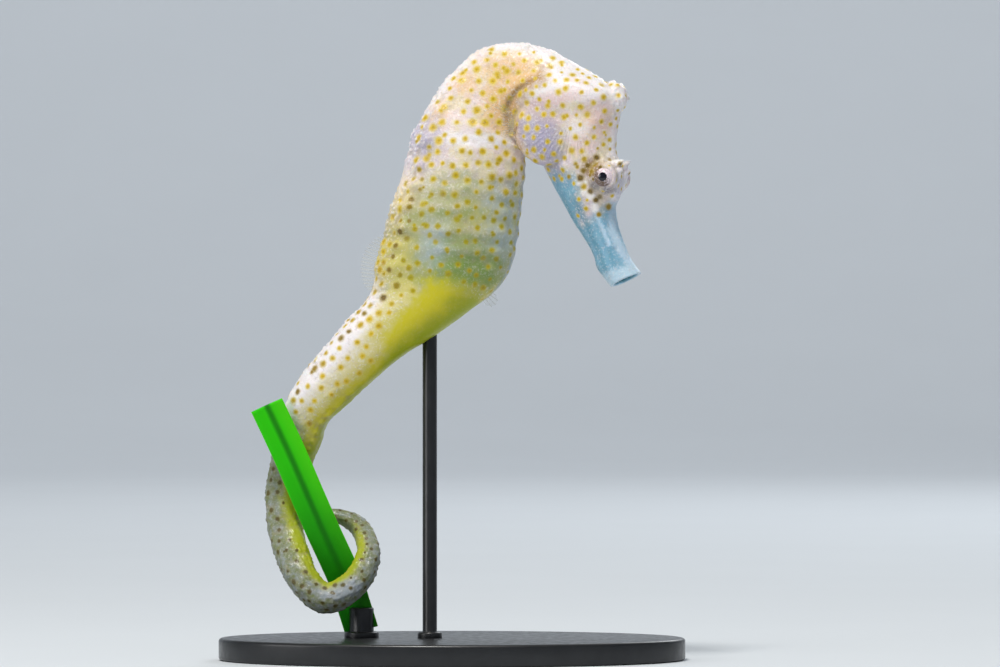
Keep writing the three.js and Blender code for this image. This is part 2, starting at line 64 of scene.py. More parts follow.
# %% [markdown]
# ## The camera
# A small animal looks right through a long lens from a metre away: a short lens close by would
# swell its near side. The camera stands level with the middle of the model, on its right side.

# %% Camera
LENS = 200.0
CAMERA_PLACE = (8.64, -1000.0, 58.77)


def look_from_the_right():
    """A long lens level with the animal's middle, looking along +Y."""
    data = bpy.data.cameras.new("camera")
    data.lens = LENS
    data.sensor_width = 36.0
    data.clip_start = 0.05
    data.clip_end = 20.0
    camera = bpy.data.objects.new("camera", data)
    camera.location = [v * MM for v in CAMERA_PLACE]
    camera.rotation_euler = (math.pi / 2, 0, 0)
    bpy.context.scene.collection.objects.link(camera)
    bpy.context.scene.camera = camera
    return camera


camera = look_from_the_right()
print("camera:", camera.data.lens, "mm lens at", CAMERA_PLACE)

# %% [markdown]
# ## The studio
# The model stands in the middle of a wide shallow bowl: a flat floor that curls up into a wall,
# so a camera on any side sees the same pale ground without an edge. It is turned from one profile,
# like a pot on a wheel. Large lamps and a pale sky give soft shadows.

# %% A helper that turns rows of points into a piece
def grid_faces(rows, columns, closed=True):
    """The four-cornered faces between rows of points. closed joins the last column to the first."""
    i = np.arange(rows - 1)[:, None] * columns
    j = np.arange(columns if closed else columns - 1)[None, :]
    k = (j + 1) % columns
    corners = [i + j, i + k, i + columns + k, i + columns + j]
    return np.stack([np.broadcast_to(c, (rows - 1, j.shape[1])) for c in corners], -1).reshape(-1, 4)


def faces_to_poles(rows, columns):
    """Faces of a closed tube of rows whose ends are fans to two more points, the poles."""
    count = rows * columns
    faces = grid_faces(rows, columns).tolist()
    for first, pole, turned_round in ((0, count, False), (count - columns, count + 1, True)):
        for j in range(columns):
            pair = [first + j, first + (j + 1) % columns]
            faces.append([*(pair if turned_round else pair[::-1]), pole])
    return faces


def piece_from(name, points, faces):
    """A smooth mesh object from points in millimetres and a list of faces."""
    mesh = bpy.data.meshes.new(name)
    mesh.from_pydata((np.asarray(points).reshape(-1, 3) * MM).tolist(), [], [list(f) for f in faces])
    mesh.validate()
    mesh.shade_smooth()
    made = bpy.data.objects.new(name, mesh)
    bpy.context.scene.collection.objects.link(made)
    return made


def turned(profile, sides):
    """Points of a shape turned about the upright axis, from a profile of radius and height."""
    angle = np.linspace(0, 2 * np.pi, sides, endpoint=False)
    radius, height = np.array(profile, float).T
    x = radius[:, None] * np.cos(angle)
    y = radius[:, None] * np.sin(angle)
    return np.stack([x, y, np.broadcast_to(height[:, None], x.shape)], -1)


print("helpers ready: grid_faces, faces_to_poles, piece_from, turned")

# %% A helper that mixes a finish from nodes
class Finish:
    """One material's nodes, with a short call for each kind that this model needs."""

    def __init__(self, name, **sockets):
        self.material = bpy.data.materials.new(name)
        self.material.use_nodes = True
        self.tree = self.material.node_tree
        self.shader = self.tree.nodes["Principled BSDF"]
        self.place = self.tree.nodes.new("ShaderNodeTexCoord").outputs["Object"]
        for socket, value in sockets.items():
            self.shader.inputs[socket.replace("_", " ")].default_value = value

    def plug(self, value, socket):
        if isinstance(value, bpy.types.NodeSocket):
            self.tree.links.new(value, socket)
        else:
            socket.default_value = value

    def node(self, kind, inputs, **settings):
        made = self.tree.nodes.new("ShaderNode" + kind)
        for setting, value in settings.items():
            setattr(made, setting, value)
        for socket, value in inputs.items():
            self.plug(value, made.inputs[socket])
        return made.outputs

    def measure(self, name):
        """A number that the mesh carries at each of its points."""
        return self.node("Attribute", {}, attribute_name=name)["Fac"]

    def grain(self, size, detail=2.0, rough=0.5):
        """Noise from 0 to 1 whose lumps are about size millimetres across."""
        inputs = {"Vector": self.place, "Scale": 1 / (size * MM), "Detail": detail, "Roughness": rough}
        return self.node("TexNoise", inputs)["Fac"]

    def math(self, operation, a, b=0.0):
        return self.node("Math", {0: a, 1: b}, operation=operation)[0]

    def times(self, a, b):
        return self.math("MULTIPLY", a, b)

    def plus(self, a, b):
        return self.math("ADD", a, b)

    def larger(self, a, b):
        return self.math("MAXIMUM", a, b)

    def waver(self, reach, size, detail=2.0, rough=0.5):
        """Noise about 0, from -reach / 2 to reach / 2, that makes an edge uneven."""
        return self.times(self.math("SUBTRACT", self.grain(size, detail, rough), 0.5), reach)

    def step(self, value, low, high, start=0.0, end=1.0):
        """start below low and end above high, with an eased slope between."""
        inputs = {"Value": value, "From Min": low, "From Max": high, "To Min": start, "To Max": end}
        return self.node("MapRange", inputs, interpolation_type="SMOOTHSTEP")[0]

    def mix(self, share, under, over):
        """One colour over another, by a share from 0 to 1."""
        pair = {"A": under, "B": over}
        made = self.tree.nodes.new("ShaderNodeMix")
        made.data_type = "RGBA"
        self.plug(share, made.inputs["Factor"])
        for key, colour in pair.items():
            socket = [s for s in made.inputs if s.name == key and s.type == "RGBA"][0]
            self.plug((*colour, 1.0) if isinstance(colour, tuple) else colour, socket)
        return [s for s in made.outputs if s.type == "RGBA"][0]

    def paint(self, colour):
        self.plug(colour, self.shader.inputs["Base Color"])

    def rough(self, value):
        self.plug(value, self.shader.inputs["Roughness"])

    def raise_by(self, height, depth, strength=1.0):
        """Bump of depth millimetres for a height from 0 to 1."""
        bump = self.node("Bump", {"Height": height, "Distance": depth * MM, "Strength": strength})
        self.plug(bump[0], self.shader.inputs["Normal"])

    def give_to(self, *objects):
        for o in objects:
            o.data.materials.clear()
            o.data.materials.append(self.material)


print("helper ready: Finish")

# %% Floor, lamps and sky
FLOOR_RADIUS = 1350.0
COVE_RADIUS = 1000.0
COVE_STEPS = 16
WALL_TOP = 1250.0
BOWL_SIDES = 128
FLOOR_COLOUR = (0.70, 0.74, 0.78)
CLOUDED_FLOOR = tuple(0.97 * c for c in FLOOR_COLOUR)
MIDDLE = (0.0, 0.0, 60.0)
LAMPS = {  # place, aim, size, watts and colour
    "wall_lamp": ((0.0, 1000.0, 1500.0), (0.0, 2200.0, 900.0), 700.0, 10.0, (0.97, 0.98, 1.0)),
    "key_lamp": ((-140.0, -400.0, 980.0), MIDDLE, 200.0, 7.6, (1.0, 0.97, 0.92)),
    "side_lamp": ((-900.0, -480.0, 360.0), MIDDLE, 500.0, 2.5, (1.0, 0.98, 0.95)),
    "back_lamp": ((450.0, 850.0, 700.0), MIDDLE, 500.0, 3.5, (0.95, 0.98, 1.0)),
}
SKY_COLOUR = (0.90, 0.95, 1.0)
SKY_STRENGTH = 0.26


def build_bowl():
    """A floor that curls up into a round wall."""
    profile = [(0.001, 0), (0.5 * FLOOR_RADIUS, 0)]
    for step in range(COVE_STEPS + 1):
        a = math.pi / 2 * step / COVE_STEPS
        profile.append((FLOOR_RADIUS + COVE_RADIUS * math.sin(a), COVE_RADIUS * (1 - math.cos(a))))
    profile.append((FLOOR_RADIUS + COVE_RADIUS, WALL_TOP))
    bowl = piece_from("studio_floor", turned(profile, BOWL_SIDES), grid_faces(len(profile), BOWL_SIDES))
    paper = Finish("pale_paper", Roughness=0.9)
    paper.paint(paper.mix(paper.grain(60.0), FLOOR_COLOUR, CLOUDED_FLOOR))
    paper.give_to(bowl)


def hang_lamp(name, place, aim, size, watts, colour):
    """A square soft lamp, with its place and aim in millimetres."""
    data = bpy.data.lights.new(name, "AREA")
    data.size = size * MM
    data.energy = watts
    data.color = colour
    made = bpy.data.objects.new(name, data)
    made.location = [v * MM for v in place]
    made.rotation_euler = (Vector(aim) - Vector(place)).to_track_quat("-Z", "Y").to_euler()
    bpy.context.scene.collection.objects.link(made)


def light_the_sky(colour, strength):
    world = bpy.data.worlds.new("sky")
    world.use_nodes = True
    world.node_tree.nodes["Background"].inputs[0].default_value = (*colour, 1.0)
    world.node_tree.nodes["Background"].inputs[1].default_value = strength
    bpy.context.scene.world = world


build_bowl()
for name, settings in LAMPS.items():
    hang_lamp(name, *settings)
light_the_sky(SKY_COLOUR, SKY_STRENGTH)
bpy.context.scene.view_settings.view_transform = "Standard"
print("studio: bowl of", 2 * (FLOOR_RADIUS + COVE_RADIUS) * MM, "m with", len(LAMPS), "lamps")

# %% [markdown]
# ## The body's stations
# A seahorse's body is one bent tube, from the tip of the tail to the lips. The solids are made
# from sections, each with a point on the back and one on the front, a half width and a squareness.
# The skin repeats those sections, so it lies on the solids, but follows them far more finely.

# %% How a section is written
HEAD_YAW = math.radians(20)
HEAD_PIVOT_X = 12.2
TAIL_NARROWNESS = 0.94  # half width of a tail section over half its depth
TAIL_SHAPE = [3.0, 0.05, 0.05]  # squareness and the two keels


def head_depth(x, share):
    """How far back the head's middle plane lies at one x, as the head looks a little aside."""
    return -math.tan(HEAD_YAW * share) * (x - HEAD_PIVOT_X)


def section(back_x, back_z, front_x, front_z, wide, yaw=0.0, y=0.0, boxy=2.3, keels=(0.2, 0.3)):
    """Points on the back and the front, half width, squareness, and how keeled back and front are."""
    back = [back_x, y + head_depth(back_x, yaw), back_z]
    front = [front_x, y + head_depth(front_x, yaw), front_z]
    return [*back, *front, wide, boxy, *keels]


def coiled(centre, outward, deep):
    """A tail section from its centre, the way its back faces, and half its depth."""
    out = np.array(Vector(outward).normalized()) * deep
    return [*(np.array(centre) + out), *(np.array(centre) - out), deep * TAIL_NARROWNESS, *TAIL_SHAPE]


print("the head looks", round(math.degrees(HEAD_YAW)), "degrees aside")

# %% Sections of tail, trunk and head
TAIL = [
    coiled([-23.9, 3.9, 26.1], [0.1, 0.5, 0.9], 0.62),
    coiled([-20.6, 4.2, 25.8], [0.3, 0.55, 0.8], 1.2),
    coiled([-16.9, 3.1, 23.9], [0.75, 0.5, 0.45], 1.65),
    coiled([-15.1, -0.3, 20.0], [0.95, 0.1, 0.1], 2.0),
    coiled([-16.1, -3.1, 15.9], [0.9, -0.3, -0.35], 2.3),
    coiled([-18.8, -4.1, 12.9], [0.45, -0.55, -0.75], 2.5),
    coiled([-22.5, -4.0, 11.4], [-0.1, -0.6, -0.85], 2.65),
    coiled([-26.1, -2.9, 13.8], [-0.7, -0.4, -0.65], 2.75),
    coiled([-28.5, -0.3, 18.1], [-0.9, -0.2, -0.4], 2.9),
    coiled([-29.9, 2.6, 22.6], [-0.97, 0, -0.25], 3.0),
    coiled([-30.4, 4.3, 26.9], [-0.98, 0.15, -0.1], 3.15),
    coiled([-30.1, 5.0, 31.4], [-0.95, 0.3, -0.05], 3.35),
    coiled([-28.9, 5.0, 36.0], [-0.95, 0.3, 0.1], 3.6),
    coiled([-27.4, 4.2, 40.8], [-0.9, 0.15, 0.4], 4.0),
]
UPPER_TAIL = {"boxy": 2.9, "keels": (0.08, 0.1)}
TRUNK = [
    section(-29.2, 48.0, -22.4, 42.7, 4.15, y=2.6, **UPPER_TAIL),
    section(-26.4, 52.0, -18.4, 46.5, 4.5, y=1.0, **UPPER_TAIL),
    section(-22.8, 56.3, -12.6, 51.7, 4.9, y=0.2, **UPPER_TAIL),
    section(-20.6, 58.8, -8.3, 55.1, 5.1, **UPPER_TAIL),
    section(-18.3, 61.7, -2.7, 58.6, 5.4, boxy=2.6, keels=(0.2, 0.12)),
    section(-16.1, 64.1, 3.2, 62.9, 5.7, boxy=2.5, keels=(0.2, 0.15)),
    section(-14.3, 67.0, 8.1, 66.7, 5.9, boxy=2.4, keels=(0.2, 0.25)),
    section(-13.5, 71.4, 10.5, 70.7, 6.2),
    section(-12.4, 76.3, 11.6, 75.4, 6.5),
    section(-11.0, 81.2, 12.2, 79.9, 6.6),
    section(-9.3, 86.2, 12.8, 84.0, 6.4),
    section(-7.9, 90.7, 13.1, 87.5, 6.0),
    section(-6.5, 95.6, 13.1, 89.8, 5.5),
    section(-3.7, 100.4, 13.2, 91.1, 4.9, yaw=0.15),
    section(0.1, 105.6, 13.4, 91.8, 4.4, yaw=0.35, boxy=2.2),
    section(4.7, 109.5, 13.8, 92.0, 4.2, yaw=0.6, boxy=2.2),
    section(10.6, 111.1, 14.4, 91.7, 4.3, yaw=0.8, boxy=2.2),
]
SKULL = {"yaw": 1.0, "boxy": 2.1, "keels": (0.25, 0.2)}
BROW = {"yaw": 1.0, "boxy": 2.1, "keels": (0.4, 0.2)}  # narrow above the eyes
SNOUT = {"yaw": 1.0, "boxy": 2.1, "keels": (0.05, 0.05)}
HEAD = [
    section(17.2, 109.8, 15.3, 90.5, 4.8, **SKULL),
    section(22.8, 106.8, 16.4, 89.3, 5.0, **SKULL),
    section(27.1, 104.1, 17.1, 87.8, 4.9, **SKULL),
    section(30.1, 101.2, 17.8, 86.4, 4.6, **SKULL),
    section(30.0, 97.7, 18.5, 84.9, 4.3, **BROW),
    section(29.5, 94.2, 19.4, 83.3, 4.1, **BROW),
    section(29.3, 90.8, 20.3, 81.7, 3.9, **SKULL),
    section(29.5, 87.5, 21.2, 80.1, 3.6, **SKULL),
    section(29.3, 84.3, 22.1, 78.5, 3.1, **SKULL),
    section(29.2, 81.3, 23.2, 76.8, 2.6, **SNOUT),
    section(29.8, 78.0, 24.5, 74.6, 2.35, **SNOUT),
    section(30.8, 75.0, 25.6, 72.4, 2.3, **SNOUT),
    section(32.0, 72.1, 26.3, 70.1, 2.4, **SNOUT),
    section(33.6, 69.7, 28.5, 67.2, 2.65, **SNOUT),
]
STATIONS = np.array(TAIL + TRUNK + HEAD, float)
TAIL_START = len(TAIL) + 6
NECK_FOOT = len(TAIL) + 12
ARCH_TOP = len(TAIL) + 16
SNOUT_ROOT = len(TAIL) + len(TRUNK) + 9
LAST = len(STATIONS) - 1
print("stations:", len(STATIONS), "from the tail's tip to the lips")

# %% [markdown]
# ## A smooth tube through the stations
# The values of neighbouring sections are joined by a smooth curve through each of them. The rows of
# the skin are then set closer where the shape is finer: wide apart on the tail, close on the face.
# A plain subdivision of the solids would keep their facets, so the tube is worked out again.

# %% The tube's shape at any place along it
ROW_PLACES = [0, 14, 20, 28, 31, 36, 39, 41, LAST]
ROW_STEPS = [0.26, 0.30, 0.22, 0.22, 0.18, 0.13, 0.13, 0.17, 0.16]  # millimetres between rows there
COLUMNS = 240
PLACES_PER_STATION = 60
TANGENT_REACH = 0.02


def smooth(values, at):
    """A uniform Catmull-Rom curve through rows of values, with straight ends."""
    values = np.asarray(values, float)
    ends = [2 * values[:1] - values[1:2], values, 2 * values[-1:] - values[-2:-1]]
    padded = np.concatenate(ends)
    i = np.clip(np.floor(at).astype(int), 0, len(values) - 2)
    u = (at - i)[:, None]
    p0, p1, p2, p3 = (padded[i + k] for k in range(4))
    curve = 2 * p0 - 5 * p1 + 4 * p2 - p3 + u * (3 * (p1 - p2) + p3 - p0)
    return p1 + 0.5 * u * (p2 - p0 + u * curve)


def lengths_along(at):
    """How far each place lies from the tail's tip, along the middle of the body."""
    shape = smooth(STATIONS, at)
    middle = (shape[:, 0:3] + shape[:, 3:6]) / 2
    steps = np.linalg.norm(np.diff(middle, axis=0), axis=1)
    return np.concatenate([[0], np.cumsum(steps)])


def unit(vectors):
    """The same directions with a length of one."""
    return vectors / np.maximum(np.linalg.norm(vectors, axis=-1, keepdims=True), 1e-9)


fine_at = np.linspace(0, LAST, LAST * PLACES_PER_STATION + 1)
fine_length = lengths_along(fine_at)
rows_between = np.diff(fine_length) / np.interp(fine_at[1:], ROW_PLACES, ROW_STEPS)
rows_before = np.concatenate([[0], np.cumsum(rows_between)])
row_count = int(rows_before[-1])
row_at = np.interp(np.arange(row_count) * rows_before[-1] / (row_count - 1), rows_before, fine_at)
print("skin rows:", len(row_at), "over", round(fine_length[-1], 1), "mm of body")

# %% Columns at even steps round a typical section
def even_turns(count, boxy=2.5, flatness=0.6):
    """Angles round a rounded oval that give steps of the same length."""
    fine = np.linspace(0, 2 * np.pi, 7201)
    across = np.sign(np.sin(fine)) * np.abs(np.sin(fine)) ** (2 / boxy) * flatness
    along = np.sign(np.cos(fine)) * np.abs(np.cos(fine)) ** (2 / boxy)
    length = np.concatenate([[0], np.cumsum(np.hypot(np.diff(across), np.diff(along)))])
    return np.interp(np.arange(count) * length[-1] / count, length, fine)


turn = even_turns(COLUMNS)
shape = smooth(STATIONS, row_at)
ahead = smooth(STATIONS, np.minimum(row_at + TANGENT_REACH, LAST))
behind = smooth(STATIONS, np.maximum(row_at - TANGENT_REACH, 0))
middle = (shape[:, 0:3] + shape[:, 3:6]) / 2
along = unit((ahead - behind)[:, 0:3] + (ahead - behind)[:, 3:6])
to_back = (shape[:, 0:3] - shape[:, 3:6]) / 2
to_right = unit(np.cross(along, to_back))
wide, boxy, keel_back, keel_front = (shape[:, k : k + 1] for k in range(6, 10))


def bent(wave):
    """A cosine or sine, squared off by each row's boxiness."""
    return np.sign(wave) * np.abs(wave) ** (2 / boxy)


back_share = bent(np.cos(turn)[None, :])
right_share = bent(np.sin(turn)[None, :])
keel = np.where(back_share > 0, keel_back, keel_front)
half_width = (1 - keel * back_share**2) * wide
tube = middle[:, None] + to_back[:, None] * back_share[..., None]
tube = tube + to_right[:, None] * (right_share * half_width)[..., None]
print("tube:", tube.shape[0] * tube.shape[1], "points")

# %% [markdown]
# ## Bony rings, ridges and knobs
# Under a seahorse's skin lie rings of bone. Where a ring crosses a lengthwise ridge it stands up as
# a knob. Both are waves: one counts rings along the body and the other peaks at each ridge's angle.
# They move real points, so that they show in the outline and cast shadows, as bump alone doesn't.

# %% Soft steps, bumps and noise
def fade(low, high, x):
    """0 below low and 1 above high, eased between."""
    t = np.clip((x - low) / (high - low), 0, 1)
    return t * t * (3 - 2 * t)


def bump(x, size):
    """1 at 0 and falling away on both sides, over about size."""
    return np.exp(-((x / size) ** 2))


def most(*fields):
    """The largest of several fields at each point."""
    return functools.reduce(np.maximum, fields)


def noise_at(points, size):
    """Smooth noise between about -1 and 1, with lumps about size millimetres across."""
    values = [noise.noise(p) for p in (points.reshape(-1, 3) / size).tolist()]
    return np.array(values).reshape(points.shape[:-1])


def outward(points):
    """The direction in which each point of a closed tube of points faces."""
    round_it = np.roll(points, -1, 1) - np.roll(points, 1, 1)
    down_it = np.gradient(points, axis=0)
    return unit(np.cross(round_it, down_it))


print("helpers ready: fade, bump, most, noise_at, outward")

# %% Rings and ridges
TRUNK_RINGS = 11
TAIL_RINGS = 35
TAIL_RING_SHRINK = 0.68
RIDGE_ANGLES = [45, 90, 135, 180]
RIDGE_SPREAD = 8.0
RIDGE_HEIGHT = 0.030  # this and the next two are shares of the half width
KNOB_HEIGHT = 0.08
RING_HEIGHT = 0.026
RING_WANDER = 0.12  # how far a ring strays from its even place, in rings
UNEVEN_SIZE = 6.5
degrees = np.degrees(np.where(turn > np.pi, 2 * np.pi - turn, turn))[None, :]
place = row_at[:, None]


def ring_count(at):
    """Rings between a place and the one where trunk meets tail: whole numbers are crests."""
    length = np.interp(at, fine_at, fine_length)
    tail_length, arch_length = np.interp([TAIL_START, ARCH_TOP], fine_at, fine_length)
    x = np.maximum(tail_length - length, 0) / tail_length
    down = TAIL_RINGS * (x - TAIL_RING_SHRINK / 2 * x * x) / (1 - TAIL_RING_SHRINK / 2)
    up = np.maximum(length - tail_length, 0) / (arch_length - tail_length) * TRUNK_RINGS
    return up - down


uneven = noise_at(tube, UNEVEN_SIZE)
wave = 0.5 + 0.5 * np.cos(2 * np.pi * (ring_count(place) + RING_WANDER * uneven))
crest = wave**2
pouch_here = fade(TAIL_START - 5, TAIL_START - 3.6, place)
pouch_here = pouch_here * (1 - fade(TAIL_START - 0.5, TAIL_START + 0.5, place))
on_trunk = fade(TAIL_START - 3, TAIL_START, place)
strengths = [0.2 + 0.8 * on_trunk, 0.4 * on_trunk, 0.6 - 0.55 * pouch_here, 0.15 * on_trunk]
relief_size = wide * (1 - fade(NECK_FOOT + 1, ARCH_TOP + 1, place)) * fade(0, 3, place)
smooth_pouch = 1 - fade(25, 55, degrees) * np.maximum(pouch_here, bump(place - TAIL_START + 0.3, 1.2))
ridges = [s * bump(degrees - a, RIDGE_SPREAD) for s, a in zip(strengths, RIDGE_ANGLES)]
ridges = smooth_pouch * sum(ridges)
ring_height = RING_HEIGHT * (0.7 + 0.6 * uneven) * (0.55 + 0.45 * on_trunk) * wave * smooth_pouch
ridge_height = (RIDGE_HEIGHT + KNOB_HEIGHT * crest) * ridges * (0.9 + 0.7 * uneven)
relief = relief_size * (ridge_height + ring_height)
tube = tube + outward(tube) * relief[..., None]
print("relief: up to", round(float(relief.max()), 2), "mm over", TRUNK_RINGS + TAIL_RINGS, "rings")

# %% [markdown]
# ## The head's forms
# The head is all plates and points: the gill cover, the ridge above it, the ring round the eye, the
# brow spine and the crown, which is called the coronet. Each is a simple solid given by a distance
# formula. Where they meet the head the two distances are blended, so the join is a soft fillet, and
# each point of the tube is then walked in from outside until it meets the blended surface.
# Sculpting by hand would give the same forms, but not by numbers that a reader can change.

# %% The head's own directions
HEAD_SIDE = np.array([-math.sin(HEAD_YAW), -math.cos(HEAD_YAW), 0])  # towards the animal's right
HEAD_AHEAD = np.array([math.cos(HEAD_YAW), -math.sin(HEAD_YAW), 0])
PIVOT = np.array([HEAD_PIVOT_X, 0, 0])


def head_coordinates(points):
    """Forward, aside and up of points. Both sides of the head share one half."""
    aside = np.abs((points - PIVOT) @ HEAD_SIDE)
    return np.stack([(points - PIVOT) @ HEAD_AHEAD, aside, points[..., 2]], -1)


def plane_x(head_points):
    """The x of the place in the head's middle plane that lies beside each point."""
    return head_points[..., 0] * math.cos(HEAD_YAW) + HEAD_PIVOT_X


def on_head(x, z, side):
    """Head coordinates of a point, given by the x and z of its middle plane and how far aside it is."""
    return np.array([(x - HEAD_PIVOT_X) / math.cos(HEAD_YAW), side, z])


def by_head(forward, aside, up):
    """A vector that goes so far forward, aside and up, by the head's own directions."""
    return HEAD_AHEAD * forward + HEAD_SIDE * aside + np.array([0, 0, up])


print("the head's own forward:", HEAD_AHEAD.round(2).tolist())

# %% Distances to simple solids
def egg(centre, radii, tilt=0.0):
    """Distance to an egg shape. tilt leans its top backwards, in radians."""
    c, s = math.cos(tilt), math.sin(tilt)
    own_directions = np.array([[c, 0, s], [0, 1, 0], [-s, 0, c]])

    def distance(p):
        q = (p - centre) @ own_directions.T
        near = np.linalg.norm(q / radii, axis=-1)
        steep = np.linalg.norm(q / np.square(radii), axis=-1)
        return near * (near - 1) / np.maximum(steep, 1e-6)

    return distance


def thorn(foot, tip, foot_radius, tip_radius):
    """Distance to a rounded cone from foot to tip."""
    run = tip - foot

    def distance(p):
        share = np.clip((p - foot) @ run / (run @ run), 0, 1)
        nearest = foot + share[..., None] * run
        return np.linalg.norm(p - nearest, axis=-1) - (foot_radius + (tip_radius - foot_radius) * share)

    return distance


def hoop(centre, axis, radius, thick):
    """Distance to a ring of round section about an axis."""

    def distance(p):
        q = p - centre
        high = q @ axis
        flat = np.sqrt(np.maximum(np.sum(q * q, -1) - high**2, 0))
        return np.hypot(flat - radius, high) - thick

    return distance


def join_softly(a, b, soft):
    """The nearer of two distances, blended where they are within soft of each other."""
    h = np.clip(0.5 + 0.5 * (b - a) / soft, 0, 1)
    return b + (a - b) * h - soft * h * (1 - h)


print("distance formulas ready: egg, thorn, hoop")

# %% The plates, rims and spines of the head
EYE_RADIUS = 2.0
EYE_AT = on_head(28.45, 86.6, 3.3)
CROWN_AT = on_head(28.9, 100.8, 0)
CROWN_TIPS = [(28.9, 103.5, 0.0), (29.9, 102.9, 0.9), (30.5, 102.1, 0.5), (30.7, 100.8, 1.2)]
FORMS = [  # a distance formula and how softly it joins
    (egg(CROWN_AT, (2.5, 2.0, 2.6), 0.4), 1.0),
    (egg(on_head(17.6, 94.9, 3.5), (5.5, 2.4, 6.1), 0.3), 0.4),  # gill cover
    (egg(on_head(20.2, 101.8, 2.9), (8.8, 2.7, 3.1), -0.1), 2.0),  # temple ridge
    (egg(on_head(28.0, 86.6, 2.5), (2.6, 2.05, 2.8), 0.2), 1.0),  # mound of the eye
    (egg(on_head(28.3, 86.6, 0), (2.2, 3.3, 4.4), 0.1), 1.4),  # bridge between the eyes
    (hoop(EYE_AT + [0, 0.6, 0], np.array([0, 1.0, 0]), 1.98, 0.34), 1.0),  # rim of the eye
    (thorn(on_head(28.6, 87.8, 1.6), on_head(31.3, 89.6, 1.9), 1.8, 0.15), 0.7),  # brow spine
    (thorn(on_head(29.2, 86.4, 1.8), on_head(30.8, 87.7, 2.2), 1.0, 0.5), 0.7),  # small knob below it
    (thorn(on_head(25.0, 84.2, 2.6), on_head(29.4, 74.5, 1.7), 0.75, 0.45), 0.5),  # cheek ridge
    (thorn(on_head(14.6, 93.4, 3.6), on_head(12.3, 94.2, 4.3), 0.9, 0.2), 0.7),  # gill cover's point
    (thorn(on_head(21.5, 88.6, 3.0), on_head(23.4, 85.8, 2.6), 0.9, 0.5), 0.8),  # jaw's corner
]
FORMS += [(thorn(CROWN_AT, on_head(*tip), 1.5, 0.6), 0.6) for tip in CROWN_TIPS]
WALK_FROM = 4.0  # millimetres outside the tube
WALK_STEPS = 46
CAREFUL = 0.7  # share of each distance that is walked, as blended distances aren't exact


def surface_height(points, directions):
    """How far each point has to move along its direction to lie on the blended head."""
    height = np.full(points.shape[:-1], WALK_FROM)
    for _ in range(WALK_STEPS):
        p = head_coordinates(points + directions * height[..., None])
        distance = height
        for form, soft in FORMS:
            distance = join_softly(distance, form(p), soft)
        height = np.maximum(height - CAREFUL * distance, -WALK_FROM / 2)
    return height


first_row = int(np.searchsorted(row_at, NECK_FOOT + 1.6))
plain = outward(tube[first_row - 1 :])[1:]
lift = surface_height(tube[first_row:], plain)
most_lift = 0.3 + 3.5 * fade(NECK_FOOT + 2.2, NECK_FOOT + 4.5, place[first_row:])  # keeps the throat low
lift = np.minimum(lift, most_lift)
tube[first_row:] += plain * lift[..., None]
print("head forms:", len(FORMS), "raised up to", round(float(lift.max()), 2), "mm")

# %% [markdown]
# ## Lumps and grains
# Living skin is never as even as a formula. Wide low lumps bend the rings a little, and small round
# grains of bone stand on the back, the crown and the coil of the tail. The grains come from a cell
# pattern, where each cell's middle is a grain: real bumps, so they also break up the outline.

# %% Lumps and grains, so that no two rings are alike
LUMP_SIZE = 4.6
SMALL_LUMP_SIZE = 1.7
LUMP_HEIGHT = 0.26
OTHER_PLACE = 40.0  # far enough off for a second noise that doesn't repeat the first
GRAIN_SIZE = 0.85
GRAIN_HEIGHT = 0.36


def grains_at(points, size):
    """Small round grains set about size millimetres apart: 1 in the middle of each, 0 between."""
    nearest = [noise.voronoi(p)[0][0] for p in (points.reshape(-1, 3) / size).tolist()]
    return fade(0.6, 0.05, np.array(nearest).reshape(points.shape[:-1]))


bare_pouch = np.maximum(pouch_here, bump(place - TAIL_START + 0.4, 1.0)) * fade(50, 75, degrees)
on_head_rows = fade(ARCH_TOP + 0.5, ARCH_TOP + 3, place)
dorsal = fade(62, 22, degrees) * (1 - on_head_rows)
dorsal = dorsal * (0.7 + 0.3 * fade(TAIL_START, TAIL_START + 3, place))
crown_top = fade(60, 20, degrees) * on_head_rows * fade(36.5, 35, place)
coil = fade(12, 8, place)
from_brow = np.linalg.norm(head_coordinates(tube) - on_head(30.4, 88.6, 1.8), axis=-1)
on_brow = bump(from_brow, 2.2)
rugged = most(dorsal, 0.5 * crown_top, 0.9 * on_brow, 0.6 * coil, 0.2 * (1 - on_head_rows), 0.14)
rugged = rugged * (1 - bare_pouch) * np.clip(0.75 + 0.9 * uneven, 0.25, 1.3)
lumps = noise_at(tube, LUMP_SIZE) + 0.35 * noise_at(tube + OTHER_PLACE, SMALL_LUMP_SIZE)
lumps = LUMP_HEIGHT * lumps * fade(0, 6, place) * (1 - 0.6 * on_head_rows) * (1 - 0.7 * bare_pouch)
tube = tube + outward(tube) * lumps[..., None]
grains = grains_at(tube, GRAIN_SIZE) * rugged
tube = tube + outward(tube) * (GRAIN_HEIGHT * grains)[..., None]
highest = [round(float(height), 2) for height in (lumps.max(), GRAIN_HEIGHT * grains.max())]
print("lumps up to", highest[0], "mm, grains up to", highest[1], "mm")

# %% [markdown]
# ## Creases, lips and the tail's tip
# The finest forms of the head are lines: the dark crease behind the gill cover, the fine rays that
# spread over it and the folds of the throat. They are worked as heights along the skin, because
# they follow it. The tube's two ends are closed by rows that shrink to a point: a rounded tip, and
# lips that roll over into the mouth.

# %% Lines drawn into the head
CREASE = [
    (17.2, 104.6), (15.2, 103.5), (13.2, 102.2), (11.8, 100.4), (11.3, 98.4),
    (11.7, 95.8), (11.5, 93.8), (12.7, 91.6), (14.1, 90.0), (16.2, 88.8),
]
CREASE_DEPTH = 0.55
CREASE_WIDTH = 0.55
RAYS_FROM = (23.5, 99.0)
RAY_COUNT = 74
RAY_HEIGHT = 0.035
FOLD_HEIGHT = 0.06
FOLDS_EVERY = (0.85, -0.35)  # the way across the throat's folds, in x and z
FOLD_PACE = 3.2  # radians of their wave to a millimetre that way


